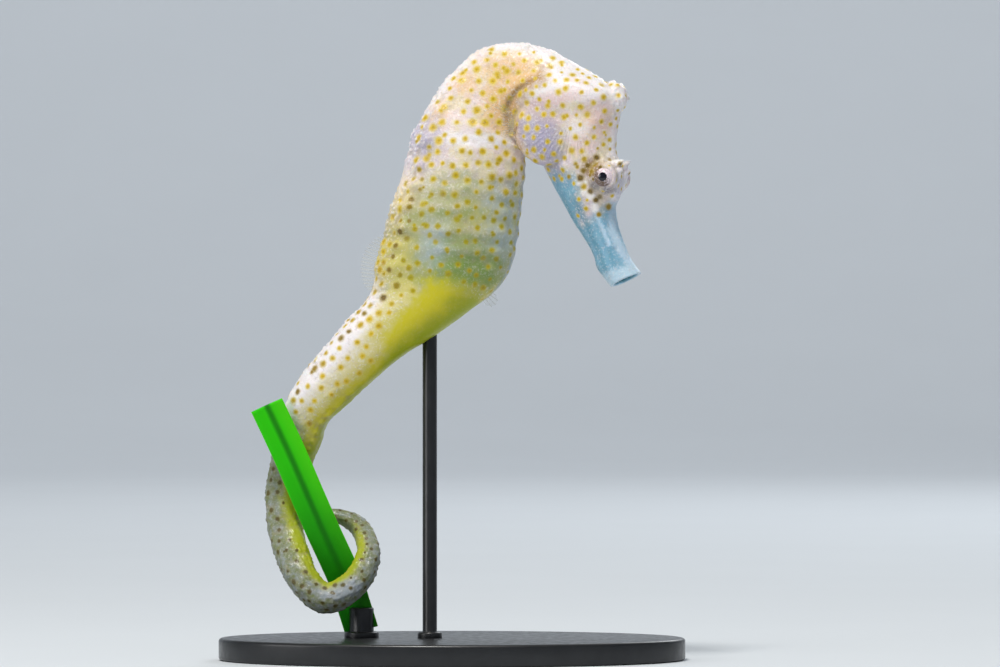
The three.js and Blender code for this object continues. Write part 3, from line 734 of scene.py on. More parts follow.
def distance_to_line(line, x, z):
    """Distance from points to a line of x, z places."""
    nearest = np.full(np.shape(x), np.inf)
    for (x0, z0), (x1, z1) in zip(line[:-1], line[1:]):
        run = np.array([x1 - x0, z1 - z0])
        share = np.clip(((x - x0) * run[0] + (z - z0) * run[1]) / (run @ run), 0, 1)
        nearest = np.minimum(nearest, np.hypot(x - x0 - share * run[0], z - z0 - share * run[1]))
    return nearest


head_at = head_coordinates(tube)
head_x = plane_x(head_at)
head_z = head_at[..., 2]
on_face = fade(NECK_FOOT + 2, NECK_FOOT + 3.5, place) * fade(1.2, 2.6, head_at[..., 1])
crease_line = distance_to_line(CREASE, head_x, head_z)
spread = np.arctan2(head_z - RAYS_FROM[1], RAYS_FROM[0] - head_x)
from_focus = np.hypot(head_x - RAYS_FROM[0], head_z - RAYS_FROM[1])
gill_cover = fade(0.2, 1.4, crease_line) * fade(12.4, 9.5, from_focus) * fade(2.5, 5.0, from_focus)
gill_cover = gill_cover * fade(12.0, 13.4, head_x) * fade(100.0, 98.0, head_z)
gill_cover = gill_cover * fade(88.4, 90.5, head_z) * on_face
rays = RAY_HEIGHT * gill_cover * np.cos(RAY_COUNT * spread + 2.5 * noise_at(tube, 2.0))
crease_here = on_face * fade(18.0, 13.5, head_x + 0.5 * fade(100, 98, head_z))
crease_cut = CREASE_DEPTH * bump(crease_line, CREASE_WIDTH) * crease_here
throat = fade(92, 88, head_z) * fade(82, 84, head_z) * fade(26.5, 24.0, head_x) * on_face
across_folds = head_x * FOLDS_EVERY[0] + head_z * FOLDS_EVERY[1]
folds = FOLD_HEIGHT * throat * np.cos(FOLD_PACE * across_folds)
tube = tube + outward(tube) * (rays - crease_cut + folds)[..., None]


def blurred(values, reach):
    """Each value averaged with its neighbours, as many as reach rows and columns away."""
    padded = np.concatenate([values[:1]] * reach + [values] + [values[-1:]] * reach)
    total = sum(padded[k : k + len(values)] for k in range(2 * reach + 1)) / (2 * reach + 1)
    return sum(np.roll(total, k, 1) for k in range(-reach, reach + 1)) / (2 * reach + 1)


# how deep each point lies in a hollow, for painted shade there
hollow = np.sum((blurred(tube, 4) - tube) * outward(tube), -1)
print("lines in the head: crease", round(float(crease_cut.max()), 2), "mm deep")

# %% Rows that close the two ends
TIP_ROWS = [(math.cos(a), 0.5 * math.sin(a)) for a in np.radians([75, 55, 35, 15])]
LIP_ROWS = [
    (0.985, 0.1), (0.93, 0.17), (0.85, 0.14), (0.76, -0.02),
    (0.69, -0.3), (0.62, -0.7), (0.46, -1.1), (0.22, -1.3),
]
# painted shade inside the mouth, for the rows that roll into it
MOUTH_PAINTED_SHADE = [0.3, 0.8, 1.0, 1.0, 1.0]  # over the innermost rows


def shrunk(row, direction, share, push):
    """One row of points drawn in towards its centre and pushed along a direction."""
    centre = row.mean(0)
    return centre + (row - centre) * share + direction * push


tip_rows = [shrunk(tube[0], -along[0], share, push) for share, push in TIP_ROWS]
lip_rows = [shrunk(tube[-1], along[-1], share, push) for share, push in LIP_ROWS]
skin_points = np.concatenate([np.array(tip_rows), tube, np.array(lip_rows)])


def extended(values):
    """Values of the tube's rows, carried on over the rows that close its ends."""
    values = np.broadcast_to(values, tube.shape[:2])
    counts = [len(TIP_ROWS) + 1] + [1] * (len(values) - 2) + [len(LIP_ROWS) + 1]
    return np.repeat(values, counts, axis=0)


at = extended(place)
around = extended(degrees)
mouth = np.zeros(at.shape)
mouth[-len(MOUTH_PAINTED_SHADE) :] = np.array(MOUTH_PAINTED_SHADE)[:, None]
print("skin:", len(skin_points), "rows of", COLUMNS, "points")

# %% [markdown]
# ## Where each colour lies
# The markings belong to the animal, and some patches also hold painted light and shade: a lit band,
# paler tops, darker lower flanks and undersides, and shade in the crease, in the hollows and on the
# coil of the tail. All are worked out on its own surface: by how far along and how far round the body
# a point is, and for patches by an outline in the plane of the body. Each is a number from 0 to 1 that
# the mesh carries at its points, and the material turns it into colour.
# A painted image would look the same, but it couldn't follow a change of shape.

# %% Where on the body each point is
skin_x, skin_z = skin_points[..., 0], skin_points[..., 2]
skin_head = head_coordinates(skin_points)
face_x = plane_x(skin_head)
in_head = fade(NECK_FOOT + 2.2, NECK_FOOT + 4.0, at)
in_neck = fade(NECK_FOOT - 2, NECK_FOOT + 1, at) * (1 - in_head)
in_trunk = fade(TAIL_START - 1.5, TAIL_START + 0.5, at) * (1 - in_head)
in_snout = fade(SNOUT_ROOT - 1.2, SNOUT_ROOT + 0.6, at)
on_jaw = in_head * fade(93, 88, skin_z)
top_of_head = fade(-1.5, 1.5, face_x - 11.6 - 1.24 * (skin_z - 100.4))  # from its upper fold forwards
low_tail = fade(13.8, 12.2, at)
upper_tail = fade(21.0, 19.0, at) * (1 - low_tail)
under_tail = fade(TAIL_START - 1.5, TAIL_START - 3.5, at) * fade(1, 4, at)
under_tail = under_tail * fade(78, 128 - 12 * low_tail, around)
flank = fade(35, 75, around) * in_trunk


def tint_at(x, z, radius_x, radius_z, lean=0.0):
    """A round patch, 1 in its middle and fading far out, on both sides of the body."""
    a = (skin_x - x) * math.cos(lean) + (skin_z - z) * math.sin(lean)
    b = (skin_z - z) * math.cos(lean) - (skin_x - x) * math.sin(lean)
    return fade(1.7, 0.1, np.hypot(a / radius_x, b / radius_z))


def tints(*patches):
    """Several round patches, each with its strength, x, z, two radii and, if it has one, its lean."""
    return most(*[strength * tint_at(*where) for strength, *where in patches])


def inside(outline, soft):
    """1 inside an outline of x, z places and 0 outside, eased over soft millimetres."""
    crossings = np.zeros(skin_x.shape, int)
    for (x0, z0), (x1, z1) in zip(outline, outline[1:] + outline[:1]):
        spans = (z0 > skin_z) != (z1 > skin_z)
        crossings += spans & (skin_x < x0 + (skin_z - z0) / (z1 - z0 + 1e-9) * (x1 - x0))
    edge = distance_to_line(outline + outline[:1], skin_x, skin_z)
    return fade(-soft, soft, np.where(crossings % 2, edge, -edge))


def along_line(line, x, wide):
    """1 on a line of x, z places, falling away over about wide millimetres."""
    return bump(distance_to_line(line, x, skin_z), wide)


print("the head takes up", round(100 * float(in_head.mean())), "% of the skin's points")

# %% Patches of the trunk, the pouch and the tail
POUCH_OUTLINE = [
    (-4.3, 69.1), (-1.8, 68.4), (1.5, 67.2), (5.0, 65.0), (12, 61), (2, 50), (-13.5, 42),
    (-14.2, 48.0), (-13.2, 52.7), (-12.6, 59.0), (-11.2, 60.8), (-8.3, 64.1),
]
POUCH_EDGE = 3.4
STRAW_LINE = [(-9.0, 66.5), (-12.0, 60.5), (-15.5, 53.5)]
pouch = inside(POUCH_OUTLINE, POUCH_EDGE) * (at < TAIL_START + 1.5)
near_straw_line = fade(4.2, 0.8, distance_to_line(STRAW_LINE, skin_x, skin_z))
PATCHES = {
    "cream_back": tints((1, -9.5, 81, 4, 6), (1, -12.0, 68.0, 3.5, 6.0)) * (1 - in_head),
    # painted shade: a darker patch on the lower back of the trunk
    "lower_back_painted_shade": tint_at(-11.5, 74.0, 4.5, 8.0) * in_trunk,
    # sage: olive-grey of the lower trunk with painted shade, stronger lower down and between the rings
    "sage_and_painted_shade": fade(15, 65, around) * in_trunk * fade(94.0, 78.0, skin_z) * (1.0 - 0.25 * extended(wave)),
    "mist": tints((0.85, 9.0, 78.5, 4.5, 7.0), (0.7, -3.0, 74.0, 3.5, 6.0))
    * in_trunk * fade(40, 70, around) * fade(178, 150, around),
    # moss: green of the flank, with painted shade in bands across the trunk and on the low belly
    "moss_and_painted_shade": flank * tints(
        (1, 2.5, 69.0, 7.5, 5.0, 0.1), (0.42, -0.5, 86.0, 6.5, 3.6),
        (0.5, 2.0, 75.0, 7.0, 1.8), (0.45, 1.0, 80.5, 7.0, 1.0),
    ),
    "straw": most(
        tints((0.5, 6.5, 79.0, 6.0, 4.0), (1, -10.0, 72.5, 3.0, 5.0)) * in_trunk,
        near_straw_line * fade(25, 50, around),
        fade(60, 105, around) * upper_tail,
    ),
    # the coil of the tail: its darker olive, with painted shadow over it
    "coil_olive_and_painted_shadow": low_tail,
    "frost": low_tail * fade(125, 95, around) * most(
        0.42,
        tints((0.85, -20.5, 13.5, 6.0, 3.0), (0.8, -26.5, 18.5, 2.2, 3.0)),
        0.5 * fade(60, 20, around),
    ),
    "mustard": np.maximum(pouch, 0.8 * under_tail),
    # painted shade: darker green on the undersides of the pouch and the upper tail
    "pouch_underside_painted_shade": np.maximum(
        pouch * fade(88, 150, around), under_tail * np.maximum(0.8 * fade(110, 160, around), low_tail),
    ),
}
print("patches of the body:", ", ".join(PATCHES))

# %% Patches of the head and the neck
MUZZLE_LINE = [(26.0, 82.2), (26.9, 79.4), (28.9, 74.8)]
BRIDGE_LINE = [(29.0, 82.5), (29.3, 77.0), (31.0, 73.2), (33.6, 69.9)]
INNER_CREASE = [(x - 1.0, z) for x, z in CREASE[:-2]]
pale_ridge = (1 - in_head) * (1 - 0.8 * low_tail) * (1 - 0.7 * bump(at - 22.6, 2.8))
streaks = 0.5 + 0.5 * np.cos(np.radians(around) * 9 + 1.0)
# painted shade along the crease behind the gill cover and just inside it, in an orange-brown tone
painted_crease_shade = np.maximum(0.7 * along_line(INNER_CREASE, skin_x, 1.6), bump(extended(crease_line), 0.7))
crease_ends = fade(NECK_FOOT + 1, NECK_FOOT + 2.5, at) * fade(NECK_FOOT + 7, NECK_FOOT + 6, at)
PATCHES |= {
    # lilac of the gill cover, jaw and belly edge, darkened also as painted shade on the lower head
    "lilac_and_painted_shade": most(
        0.7 * tint_at(-5.5, 93.5, 4.2, 6.0) * (1 - in_head),
        extended(gill_cover) * fade(99.5, 95.5, skin_z) * fade(23.5, 18.5, face_x),
        0.8 * on_jaw * fade(23.5, 19.5, face_x),
        0.6 * tint_at(29.8, 85.4, 1.4, 2.6) * in_head,
        0.35 * on_jaw,
        0.5 * fade(150, 170, around) * in_trunk,
    ),
    "peach": most(
        tint_at(11.5, 104.5, 6.0, 4.4, -0.4) * (1 - top_of_head),
        tints((0.7, 2.0, 104.0, 3.4, 3.0), (1, 8.8, 99.0, 3.6, 6.0)),
        tints((0.7, -4.0, 99.5, 3.6, 3.6), (0.45, 24.5, 96.0, 4.0, 3.4)),
    ),
    "rose": in_head * tints(
        (1, 18.0, 100.6, 5.5, 1.5, 0.2), (0.6, 22.0, 103.6, 3.0, 1.2),
        (0.8, 26.8, 97.0, 3.0, 3.5), (0.7, 23.0, 92.5, 3.0, 2.2),
    ),
    # painted shade in a mauve tone, in the recess under the temple ridge and on the gill cover
    "mauve_painted_shade": in_head * tints((1, 16.0, 98.2, 3.4, 1.8, -0.3), (0.6, 18.5, 96.4, 3.0, 1.6)),
    "umber": in_head * tint_at(25.2, 88.2, 2.1, 1.9),
    "soot": in_head * tints((1, 25.6, 85.3, 1.1, 1.1), (0.8, 27.9, 84.3, 1.8, 0.8)),
    "glass": most(
        0.3 * fade(155, 172, around) * in_trunk * fade(NECK_FOOT + 2, NECK_FOOT, at),
        in_snout, in_head * fade(90.5, 84.0, skin_z) * fade(26.0, 22.0, face_x),
    ),
    # pale skin of the back, crown and upper tail, with painted light: the top of the head made paler as
    # if lit from above
    "bright": most(
        in_head * fade(98.5, 102.5, skin_z) * top_of_head,
        # painted light: a lit band across the upper trunk
        0.9 * tint_at(4.0, 93.5, 8.5, 1.6, -0.05) * in_trunk,
        0.85 * fade(50, 20, around) * in_head,
        0.8 * fade(42, 18, around) * in_neck,
        0.75 * fade(60, 15, around) * pale_ridge,
        0.9 * fade(125, 85, around) * upper_tail,
        0.7 * tint_at(22.5, 95.0, 3.0, 2.5) * in_head,
    ),
    "chalk": in_head * tints(
        (1, 23.2, 85.6, 1.0, 0.6), (1, 24.5, 83.6, 1.4, 0.85, -0.5), (0.9, 28.9, 90.0, 1.3, 1.0),
        (1, 30.9, 89.7, 1.1, 0.9), (0.8, 25.6, 81.2, 0.9, 1.0),
    ),
    "snout_streaks": fade(85.0, 81.0, skin_z) * in_head * streaks * fade(60, 90, around),
    # pale grains along the snout's ridges, with a painted highlight along its front edge
    "snout_ridge_and_painted_highlight": in_snout * np.maximum(
        0.8 * along_line(MUZZLE_LINE, face_x, 0.55), 0.9 * along_line(BRIDGE_LINE, face_x, 0.8),
    ),
    "lip": fade(LAST - 1.1, LAST - 0.2, at) * fade(0.0, -0.1, mouth - 0.1),
    "crease": painted_crease_shade * crease_ends * fade(0.8, 2.4, skin_head[..., 1]),
    # painted shade inside the mouth
    "mouth": mouth,
    "hollow": extended(hollow),
    "grains": extended(grains),
}
means = [f"{name} {values.mean():.2f}" for name, values in PATCHES.items()]
print("patches, with the mean of each:", ", ".join(means))

# %% [markdown]
# ## Spots
# The spots are scattered like grains that keep their distance: a place is tried at random, and kept
# if no earlier spot is too near. The skin then carries how far each point is from the nearest spot,
# in that spot's radii, so the material can give each spot a dark middle and a soft yellow rim.
# A cell pattern would be quicker, but its spots are cut off where the surface crosses a cell.

# %% Spots round the eye, and the sizes and gaps of all others
SPOT_SEED = 11
SPOT_TRIES = 20000
TWIN_SHARE = 0.1  # spots that run into a smaller one beside them
TWIN_SIZE = 0.7
EYE_SPOT_GROWTH = 1.15
# places along the body, then the gap between spots and their radius there
SPOT_GAPS = [0, 4, 12, 17, 20, 26, 29, 32, 40], [1.5, 2.0, 2.25, 2.3, 2.15, 2.1, 1.95, 1.85, 1.9]
SPOT_SIZES = [0, 6, 16, 22, 27, 32, 40], [0.36, 0.5, 0.54, 0.62, 0.61, 0.48, 0.34]
SPOT_SHARES = {0.7: 0.15, 0.85: 0.3, 1.0: 0.35, 1.12: 0.2}  # how many have each share of that size
EYE_SPOTS = [  # x, z, radius and darkness of the spots round the eye
    (24.2, 92.8, 0.39, 0.2), (27.1, 92.5, 0.33, 0.2), (28.3, 91.7, 0.25, 0.4), (26.1, 91.8, 0.22, 0.4),
    (21.4, 91.4, 0.48, 0.3), (25.9, 90.1, 0.47, 0.85), (23.7, 89.9, 0.45, 0.45), (28.2, 89.8, 0.33, 0.6),
    (22.1, 89.1, 0.32, 0.5), (22.4, 88.5, 0.32, 0.5), (24.4, 88.7, 0.40, 0.8), (25.6, 88.9, 0.42, 0.6),
    (26.4, 88.5, 0.30, 0.95), (30.0, 89.0, 0.40, 0.7), (23.5, 87.9, 0.40, 0.7), (25.0, 87.7, 0.42, 0.6),
    (24.6, 87.0, 0.26, 0.7), (23.0, 86.6, 0.54, 0.85), (25.2, 86.3, 0.22, 0.95), (21.0, 86.8, 0.34, 0.5),
    (23.6, 85.0, 0.48, 0.4), (24.8, 84.1, 0.42, 1.0), (25.8, 82.6, 0.42, 0.85), (26.4, 83.2, 0.40, 0.85),
    (28.0, 81.4, 0.45, 0.6), (26.3, 80.0, 0.34, 0.6), (31.0, 86.9, 0.25, 0.6), (28.6, 83.3, 0.3, 0.1),
]
print("spots round each eye:", len(EYE_SPOTS))

# %% Places of the spots
flat_points = skin_points.reshape(-1, 3)
flat_at = at.reshape(-1)
flat_around = np.broadcast_to(around, at.shape).reshape(-1)


def spot_gap(at, around, mustard, glass):
    """How far apart spots lie at a place, or infinity where there are none."""
    gap = np.interp(at, *SPOT_GAPS)
    gap = gap * (1 - 0.16 * fade(85, 55, around) * bump(at - TAIL_START - 1.0, 4.0))
    bare = (mustard > 0.8) | (glass > 0.75) | (at > SNOUT_ROOT - 0.6) | (at < 0.6)
    bare |= (around < 24) & (at > NECK_FOOT - 4) & (at < ARCH_TOP + 2)
    bare |= (around > 150) & (at < TAIL_START - 4)
    return np.where(bare, np.inf, gap)


def nearest_point(place, among):
    return int(among[np.argmin(np.linalg.norm(flat_points[among] - place, axis=1))])


def scatter_spots():
    """Centres, radii and darkness of all spots, those round the eye first."""
    rng = np.random.default_rng(SPOT_SEED)
    side = (flat_points - PIVOT) @ HEAD_SIDE
    right = np.flatnonzero((side > 1.0) & (flat_at > NECK_FOOT + 4))
    left = np.flatnonzero((side < -1.0) & (flat_at > NECK_FOOT + 4))
    chosen, radii, dark = [], [], []
    for x, z, radius, shade in EYE_SPOTS:
        seen = np.hypot(flat_points[right, 0] - x, flat_points[right, 2] - z) - 0.05 * side[right]
        there = int(right[np.argmin(seen)])
        mirror = flat_points[there] - 2 * side[there] * HEAD_SIDE
        for index in (there, nearest_point(mirror, left)):
            chosen.append(index)
            radii.append(EYE_SPOT_GROWTH * radius)
            dark.append(shade)
    mustard = PATCHES["mustard"].reshape(-1)
    gaps = spot_gap(flat_at, flat_around, mustard, PATCHES["glass"].reshape(-1))
    tries = rng.permutation(np.flatnonzero(np.isfinite(gaps)))[:SPOT_TRIES]
    for index in tries:
        gap = gaps[index] * rng.uniform(0.7, 1.2)
        if rng.random() < 1.6 * mustard[index]:
            continue
        if np.min(np.linalg.norm(flat_points[chosen] - flat_points[index], axis=1)) < gap:
            continue
        size = np.interp(flat_at[index], *SPOT_SIZES)
        size *= rng.choice(list(SPOT_SHARES), p=list(SPOT_SHARES.values())) * rng.uniform(0.93, 1.07)
        ridge_here = bump(flat_around[index] - 48, 9) * fade(NECK_FOOT, NECK_FOOT - 3, flat_at[index])
        lower = fade(100, 20, flat_around[index]) * fade(NECK_FOOT - 1, TAIL_START + 2, flat_at[index])
        shade = 0.12 + 0.16 * lower + 0.45 * ridge_here + rng.uniform(-0.12, 0.16)
        shade = max(shade, fade(15, 12, flat_at[index]) * rng.uniform(0.7, 1.0))
        chosen.append(index)
        radii.append(size)
        dark.append(shade)
        if rng.random() < TWIN_SHARE:
            beside = np.linalg.norm(flat_points - flat_points[index], axis=1)
            ring = np.flatnonzero((beside > TWIN_SIZE * size) & (beside < TWIN_SIZE * size + 0.5))
            chosen.append(int(rng.choice(ring)))
            radii.append(TWIN_SIZE * size)
            dark.append(shade)
    return flat_points[chosen], np.array(radii), np.array(dark)


spot_places, spot_radii, spot_darkness = scatter_spots()
print("spots:", len(spot_places), "of", round(2 * float(spot_radii.mean()), 2), "mm on average")

# %% Distance to the nearest spot
CHUNK = 8000  # points at a time, so that the table of distances stays small
FURTHEST = 4.0


def spot_field(points):
    """For each point, its distance to the nearest spot in spot radii, and that spot's darkness."""
    field, dark = [], []
    for start in range(0, len(points), CHUNK):
        some = points[start : start + CHUNK]
        apart = np.linalg.norm(some[:, None] - spot_places[None], axis=2) / spot_radii
        nearest = apart.argmin(1)
        field.append(apart[np.arange(len(some)), nearest])
        dark.append(spot_darkness[nearest])
    return np.minimum(np.concatenate(field), FURTHEST), np.concatenate(dark)


spot_distance, spot_dark = spot_field(flat_points)
print("spot field: nearest", round(float(spot_distance.min()), 2), "radii")

# %% [markdown]
# ## One skin over all the flesh
# The rows become one closed mesh, without a seam from tail to lips. Separate pieces for head, trunk
# and tail would show a line where they meet, which living skin doesn't have. The mesh stands for all
# the solids of flesh, so those are no longer shown. The eyes stay pieces of their own.

# %% Skin mesh
FLESH = [
    "snout", "head", "coronet", "neck", "trunk", "brood_pouch",
    "tail_upper", "tail_middle", "tail_lower", "tail_hook", "tail_tip",
]


def carry(piece, **measures):
    """Stores a number for each point of a piece's mesh, for its material to read."""
    for name, values in measures.items():
        layer = piece.data.attributes.new(name, "FLOAT", "POINT")
        layer.data.foreach_set("value", np.asarray(values, np.float32).reshape(-1))


def build_skin():
    poles = np.array([skin_points[0].mean(0), skin_points[-1].mean(0)])
    faces = faces_to_poles(len(skin_points), COLUMNS)
    skin = piece_from("seahorse_skin", np.concatenate([flat_points, poles]), faces)
    measures = {**PATCHES, "spot": spot_distance, "spot_dark": spot_dark}
    for name, values in measures.items():
        values = values.reshape(-1)
        carry(skin, **{name: np.concatenate([values, [values[0], values[-1]]])})
    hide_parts(*FLESH)
    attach(skin, "root")
    return skin


skin = build_skin()
print("skin:", len(skin.data.polygons), "faces, replaces", len(FLESH), "solids")

# %% [markdown]
# ## The skin's finish
# The ground is a warm cream. Patches lie over it one by one, each with an edge broken up by noise,
# as pigment is in real skin; some of them are painted light and shade rather than pigment. Then come
# the spots, fine white grains, painted shade in the hollows and a satin gloss. Light goes a little way
# into the skin, which softens the shadows on the thin throat and snout.

# %% Colours of the skin, from the lowest layer up
CREAM = (0.86, 0.75, 0.55)
BLUSH = (0.86, 0.72, 0.69)
LAYERS = [  # patch, colour, strength, size of the noise that breaks it up, softness of its edge
    ("cream_back", (0.84, 0.68, 0.32), 0.85, 1.2, 0.5),
    ("peach", (0.87, 0.56, 0.25), 0.9, 1.4, 0.5),
    # pale skin, with painted light on the top of the head and a band of the trunk
    ("bright", (0.95, 0.90, 0.92), 0.93, 1.0, 0.45),
    ("rose", (0.86, 0.62, 0.60), 0.7, 1.0, 0.5),
    # painted shade on the lower back
    ("lower_back_painted_shade", (0.40, 0.38, 0.22), 0.75, 1.0, 0.5),
    # olive-grey of the lower trunk, with painted shade
    ("sage_and_painted_shade", (0.36, 0.40, 0.15), 0.85, 2.2, 0.5),
    ("mist", (0.43, 0.52, 0.58), 0.8, 1.8, 0.4),
    # green of the flank, with painted shade
    ("moss_and_painted_shade", (0.17, 0.31, 0.03), 0.75, 1.6, 0.5),
    ("straw", (0.70, 0.61, 0.13), 0.7, 1.2, 0.5),
    # lilac, with painted shade on the lower head
    ("lilac_and_painted_shade", (0.37, 0.35, 0.55), 0.8, 0.9, 0.5),
    # olive of the coil, with painted shadow
    ("coil_olive_and_painted_shadow", (0.12, 0.16, 0.035), 0.92, 1.4, 0.5),
    ("frost", (0.34, 0.38, 0.46), 0.75, 1.1, 0.25),
    ("mustard", (0.68, 0.60, 0.004), 0.98, 1.6, 0.5),
    # painted shade on the undersides
    ("pouch_underside_painted_shade", (0.30, 0.38, 0.003), 0.8, 3.0, 0.5),
    ("glass", (0.15, 0.41, 0.58), 0.9, 1.2, 0.5),
    ("snout_streaks", (0.07, 0.26, 0.37), 0.55, 0.7, 0.5),
    # pale ridge grains and a painted highlight on the snout
    ("snout_ridge_and_painted_highlight", (0.60, 0.77, 0.92), 0.85, 0.6, 0.45),
    ("lip", (0.56, 0.72, 0.84), 0.8, 0.5, 0.5),
    ("chalk", (0.93, 0.88, 0.86), 0.95, 0.35, 0.35),
    # painted shade under the temple ridge
    ("mauve_painted_shade", (0.50, 0.38, 0.44), 0.65, 0.7, 0.5),
    ("umber", (0.30, 0.17, 0.05), 0.9, 0.45, 0.45),
    ("soot", (0.17, 0.15, 0.17), 0.8, 0.4, 0.5),
    # orange-brown painted shade in the crease
    ("crease", (0.44, 0.22, 0.02), 0.9, 0.9, 0.5),
    # painted shade inside the mouth
    ("mouth", (0.02, 0.18, 0.24), 0.9, 2.0, 0.4),
]
SPOT_RIM = (0.80, 0.64, 0.10)
SPOT_DARK_RIM = (0.42, 0.30, 0.05)
SPOT_CORE = (0.72, 0.49, 0.002)
SPOT_HEART = (0.30, 0.18, 0.002)
SPOT_OLIVE = (0.36, 0.355, 0.002)
SPOT_BROWN = (0.13, 0.075, 0.002)
SPOT_OF_COIL = (0.085, 0.065, 0.004)
SHADED = (0.50, 0.40, 0.40)
FINE_WHITE = (0.95, 0.92, 0.94)
GRAIN_WHITE = (0.95, 0.92, 0.93)
DOT_WHITE = (0.94, 0.92, 0.94)
PAINTED_SHADE_IN_HOLLOWS = (0.42, 0.34, 0.24)
print("colours of the skin:", len(LAYERS), "layers over the ground")

# %% Skin finish
def ground_colour(f):
    """Cream skin with the patches over it, one by one."""
    colour = f.mix(f.step(f.grain(2.6, 3.0), 0.40, 0.62), CREAM, BLUSH)
    for name, tint, strength, size, soft in LAYERS:
        here = f.measure(name)
        broken = f.plus(here, f.times(f.waver(0.9, size, 3.0, 0.6), f.step(here, 0.0, 0.25)))
        colour = f.mix(f.step(broken, 0.5 - soft, 0.5 + soft, 0.0, strength), colour, tint)
    return colour


def add_spots(f, colour):
    """Soft yellow rims first, then the darker cores inside them."""
    edge = f.plus(f.measure("spot"), f.waver(0.7, 0.6))
    darkness = f.measure("spot_dark")
    less_rim = f.step(f.larger(f.measure("coil_olive_and_painted_shadow"), f.measure("sage_and_painted_shade")), 0.2, 0.9, 1.0, 0.15)
    rim = f.mix(f.step(darkness, 0.1, 0.8), SPOT_RIM, SPOT_DARK_RIM)
    colour = f.mix(f.times(f.step(edge, 0.8, 1.8, 0.65, 0.0), less_rim), colour, rim)
    # spots in the painted shade of the lower flank turn olive with it
    core = f.mix(f.times(f.measure("sage_and_painted_shade"), 0.8), SPOT_CORE, SPOT_OLIVE)
    core = f.mix(f.step(darkness, 0.1, 0.9), core, SPOT_BROWN)
    core = f.mix(f.step(edge, 0.0, 0.6, 0.5, 0.0), core, SPOT_HEART)
    core = f.mix(f.measure("coil_olive_and_painted_shadow"), core, SPOT_OF_COIL)
    return f.mix(f.step(edge, 0.45, 1.2, 0.96, 0.0), colour, core)


def skin_finish():
    f = Finish("seahorse_skin", Subsurface_Weight=0.22, Subsurface_Scale=0.0012, Coat_Weight=0.12)
    f.shader.inputs["Subsurface Radius"].default_value = (0.9, 0.6, 0.45)
    f.shader.inputs["Coat Roughness"].default_value = 0.15
    f.shader.inputs["Specular IOR Level"].default_value = 0.35
    colour = ground_colour(f)
    # speckles, grains and dots are fewer on the tinted parts: the snout, the painted shade of the lower
    # flank and the painted shadow on the coil
    tinted = f.larger(f.times(f.measure("glass"), 0.6), f.times(f.measure("sage_and_painted_shade"), 0.8))
    pale = f.step(f.larger(tinted, f.measure("coil_olive_and_painted_shadow")), 0.2, 0.9, 1.0, 0.3)  # less on the tinted parts
    bare = f.times(f.step(f.measure("mustard"), 0.3, 0.8, 1.0, 0.06), pale)  # and hardly on the pouch
    shadow = f.step(f.grain(0.75, 3.0, 0.7), 0.47, 0.30, 0.0, 0.34)
    colour = f.mix(f.times(shadow, bare), colour, SHADED)
    speckle = f.step(f.grain(0.42, 2.0), 0.52, 0.70, 0.0, 0.42)
    colour = add_spots(f, f.mix(f.times(speckle, bare), colour, FINE_WHITE))
    # painted shade in the hollows between grains, rings and folds
    colour = f.mix(f.step(f.measure("hollow"), 0.0, 0.1, 0.0, 0.4), colour, PAINTED_SHADE_IN_HOLLOWS)
    white_grain = f.times(f.step(f.measure("grains"), 0.25, 0.9, 0.0, 0.7), pale)
    colour = f.mix(white_grain, colour, GRAIN_WHITE)
    dots = f.step(f.grain(0.15, 1.0), 0.66, 0.76, 0.0, 0.3)
    f.paint(f.mix(f.times(dots, bare), colour, DOT_WHITE))
    f.rough(f.plus(f.step(f.grain(0.6), 0.3, 0.7, 0.30, 0.50), f.times(f.measure("coil_olive_and_painted_shadow"), 0.2)))
    height = f.plus(f.grain(0.2, 2.0), f.times(f.grain(0.42, 2.0), 1.6))
    f.raise_by(f.times(height, bare), 0.08, 0.9)
    return f


skin_look = skin_finish()
skin_look.give_to(skin)
print("skin finish:", len(skin_look.tree.nodes), "nodes in", len(LAYERS), "layers")

# %% [markdown]
# ## The eyes
# A seahorse's eyes turn on their own, like a chameleon's, and sit in a raised rim. Each is a smooth
# ball with a black pupil, and an iris that is flecked like the skin round it: pale towards the front
# and the top, and dark behind. Each point of the ball carries its angle from the line of sight, for
# the pupil, and how far it faces forward and up, for the iris.

# %% Eyes
GAZE = (0.12, 0.99, 0.05)  # forward, aside and up
PALE_WAY = (0.75, 0, 0.65)
BALL_ROWS = 64
BALL_COLUMNS = 96
POLE_GAP = 0.6  # degrees between a pole and the first row
IRIS_BEHIND = (0.21, 0.14, 0.11)
IRIS_AHEAD = (0.93, 0.78, 0.84)
IRIS_BROWN = (0.14, 0.07, 0.02)
IRIS_GREY = (0.62, 0.56, 0.60)
EYE_EDGE = (0.50, 0.42, 0.46)
PUPIL = (0.003, 0.003, 0.010)


def eyeball(name, side):
    """A ball whose pole looks along the line of sight. side is 1 on the animal's right."""
    centre = PIVOT + by_head(EYE_AT[0], side * EYE_AT[1], EYE_AT[2])
    gaze = by_head(GAZE[0], side * GAZE[1], GAZE[2])
    tilt = Vector((0, 0, 1)).rotation_difference(Vector(gaze)).to_matrix()
    angle = np.radians(np.linspace(180 - POLE_GAP, POLE_GAP, BALL_ROWS))
    profile = EYE_RADIUS * np.stack([np.sin(angle), np.cos(angle)], 1)
    poles = [[0, 0, -EYE_RADIUS], [0, 0, EYE_RADIUS]]
    points = np.concatenate([turned(profile, BALL_COLUMNS).reshape(-1, 3), poles])
    off_axis = np.degrees(np.arccos(np.clip(points[:, 2] / EYE_RADIUS, -1, 1)))
    points = points @ np.array(tilt).T
    ball = piece_from(name, points + centre, faces_to_poles(BALL_ROWS, BALL_COLUMNS))
    carry(ball, off_axis=off_axis, forward=points @ unit(by_head(*PALE_WAY)) / EYE_RADIUS)
    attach(ball, "root")
    return ball


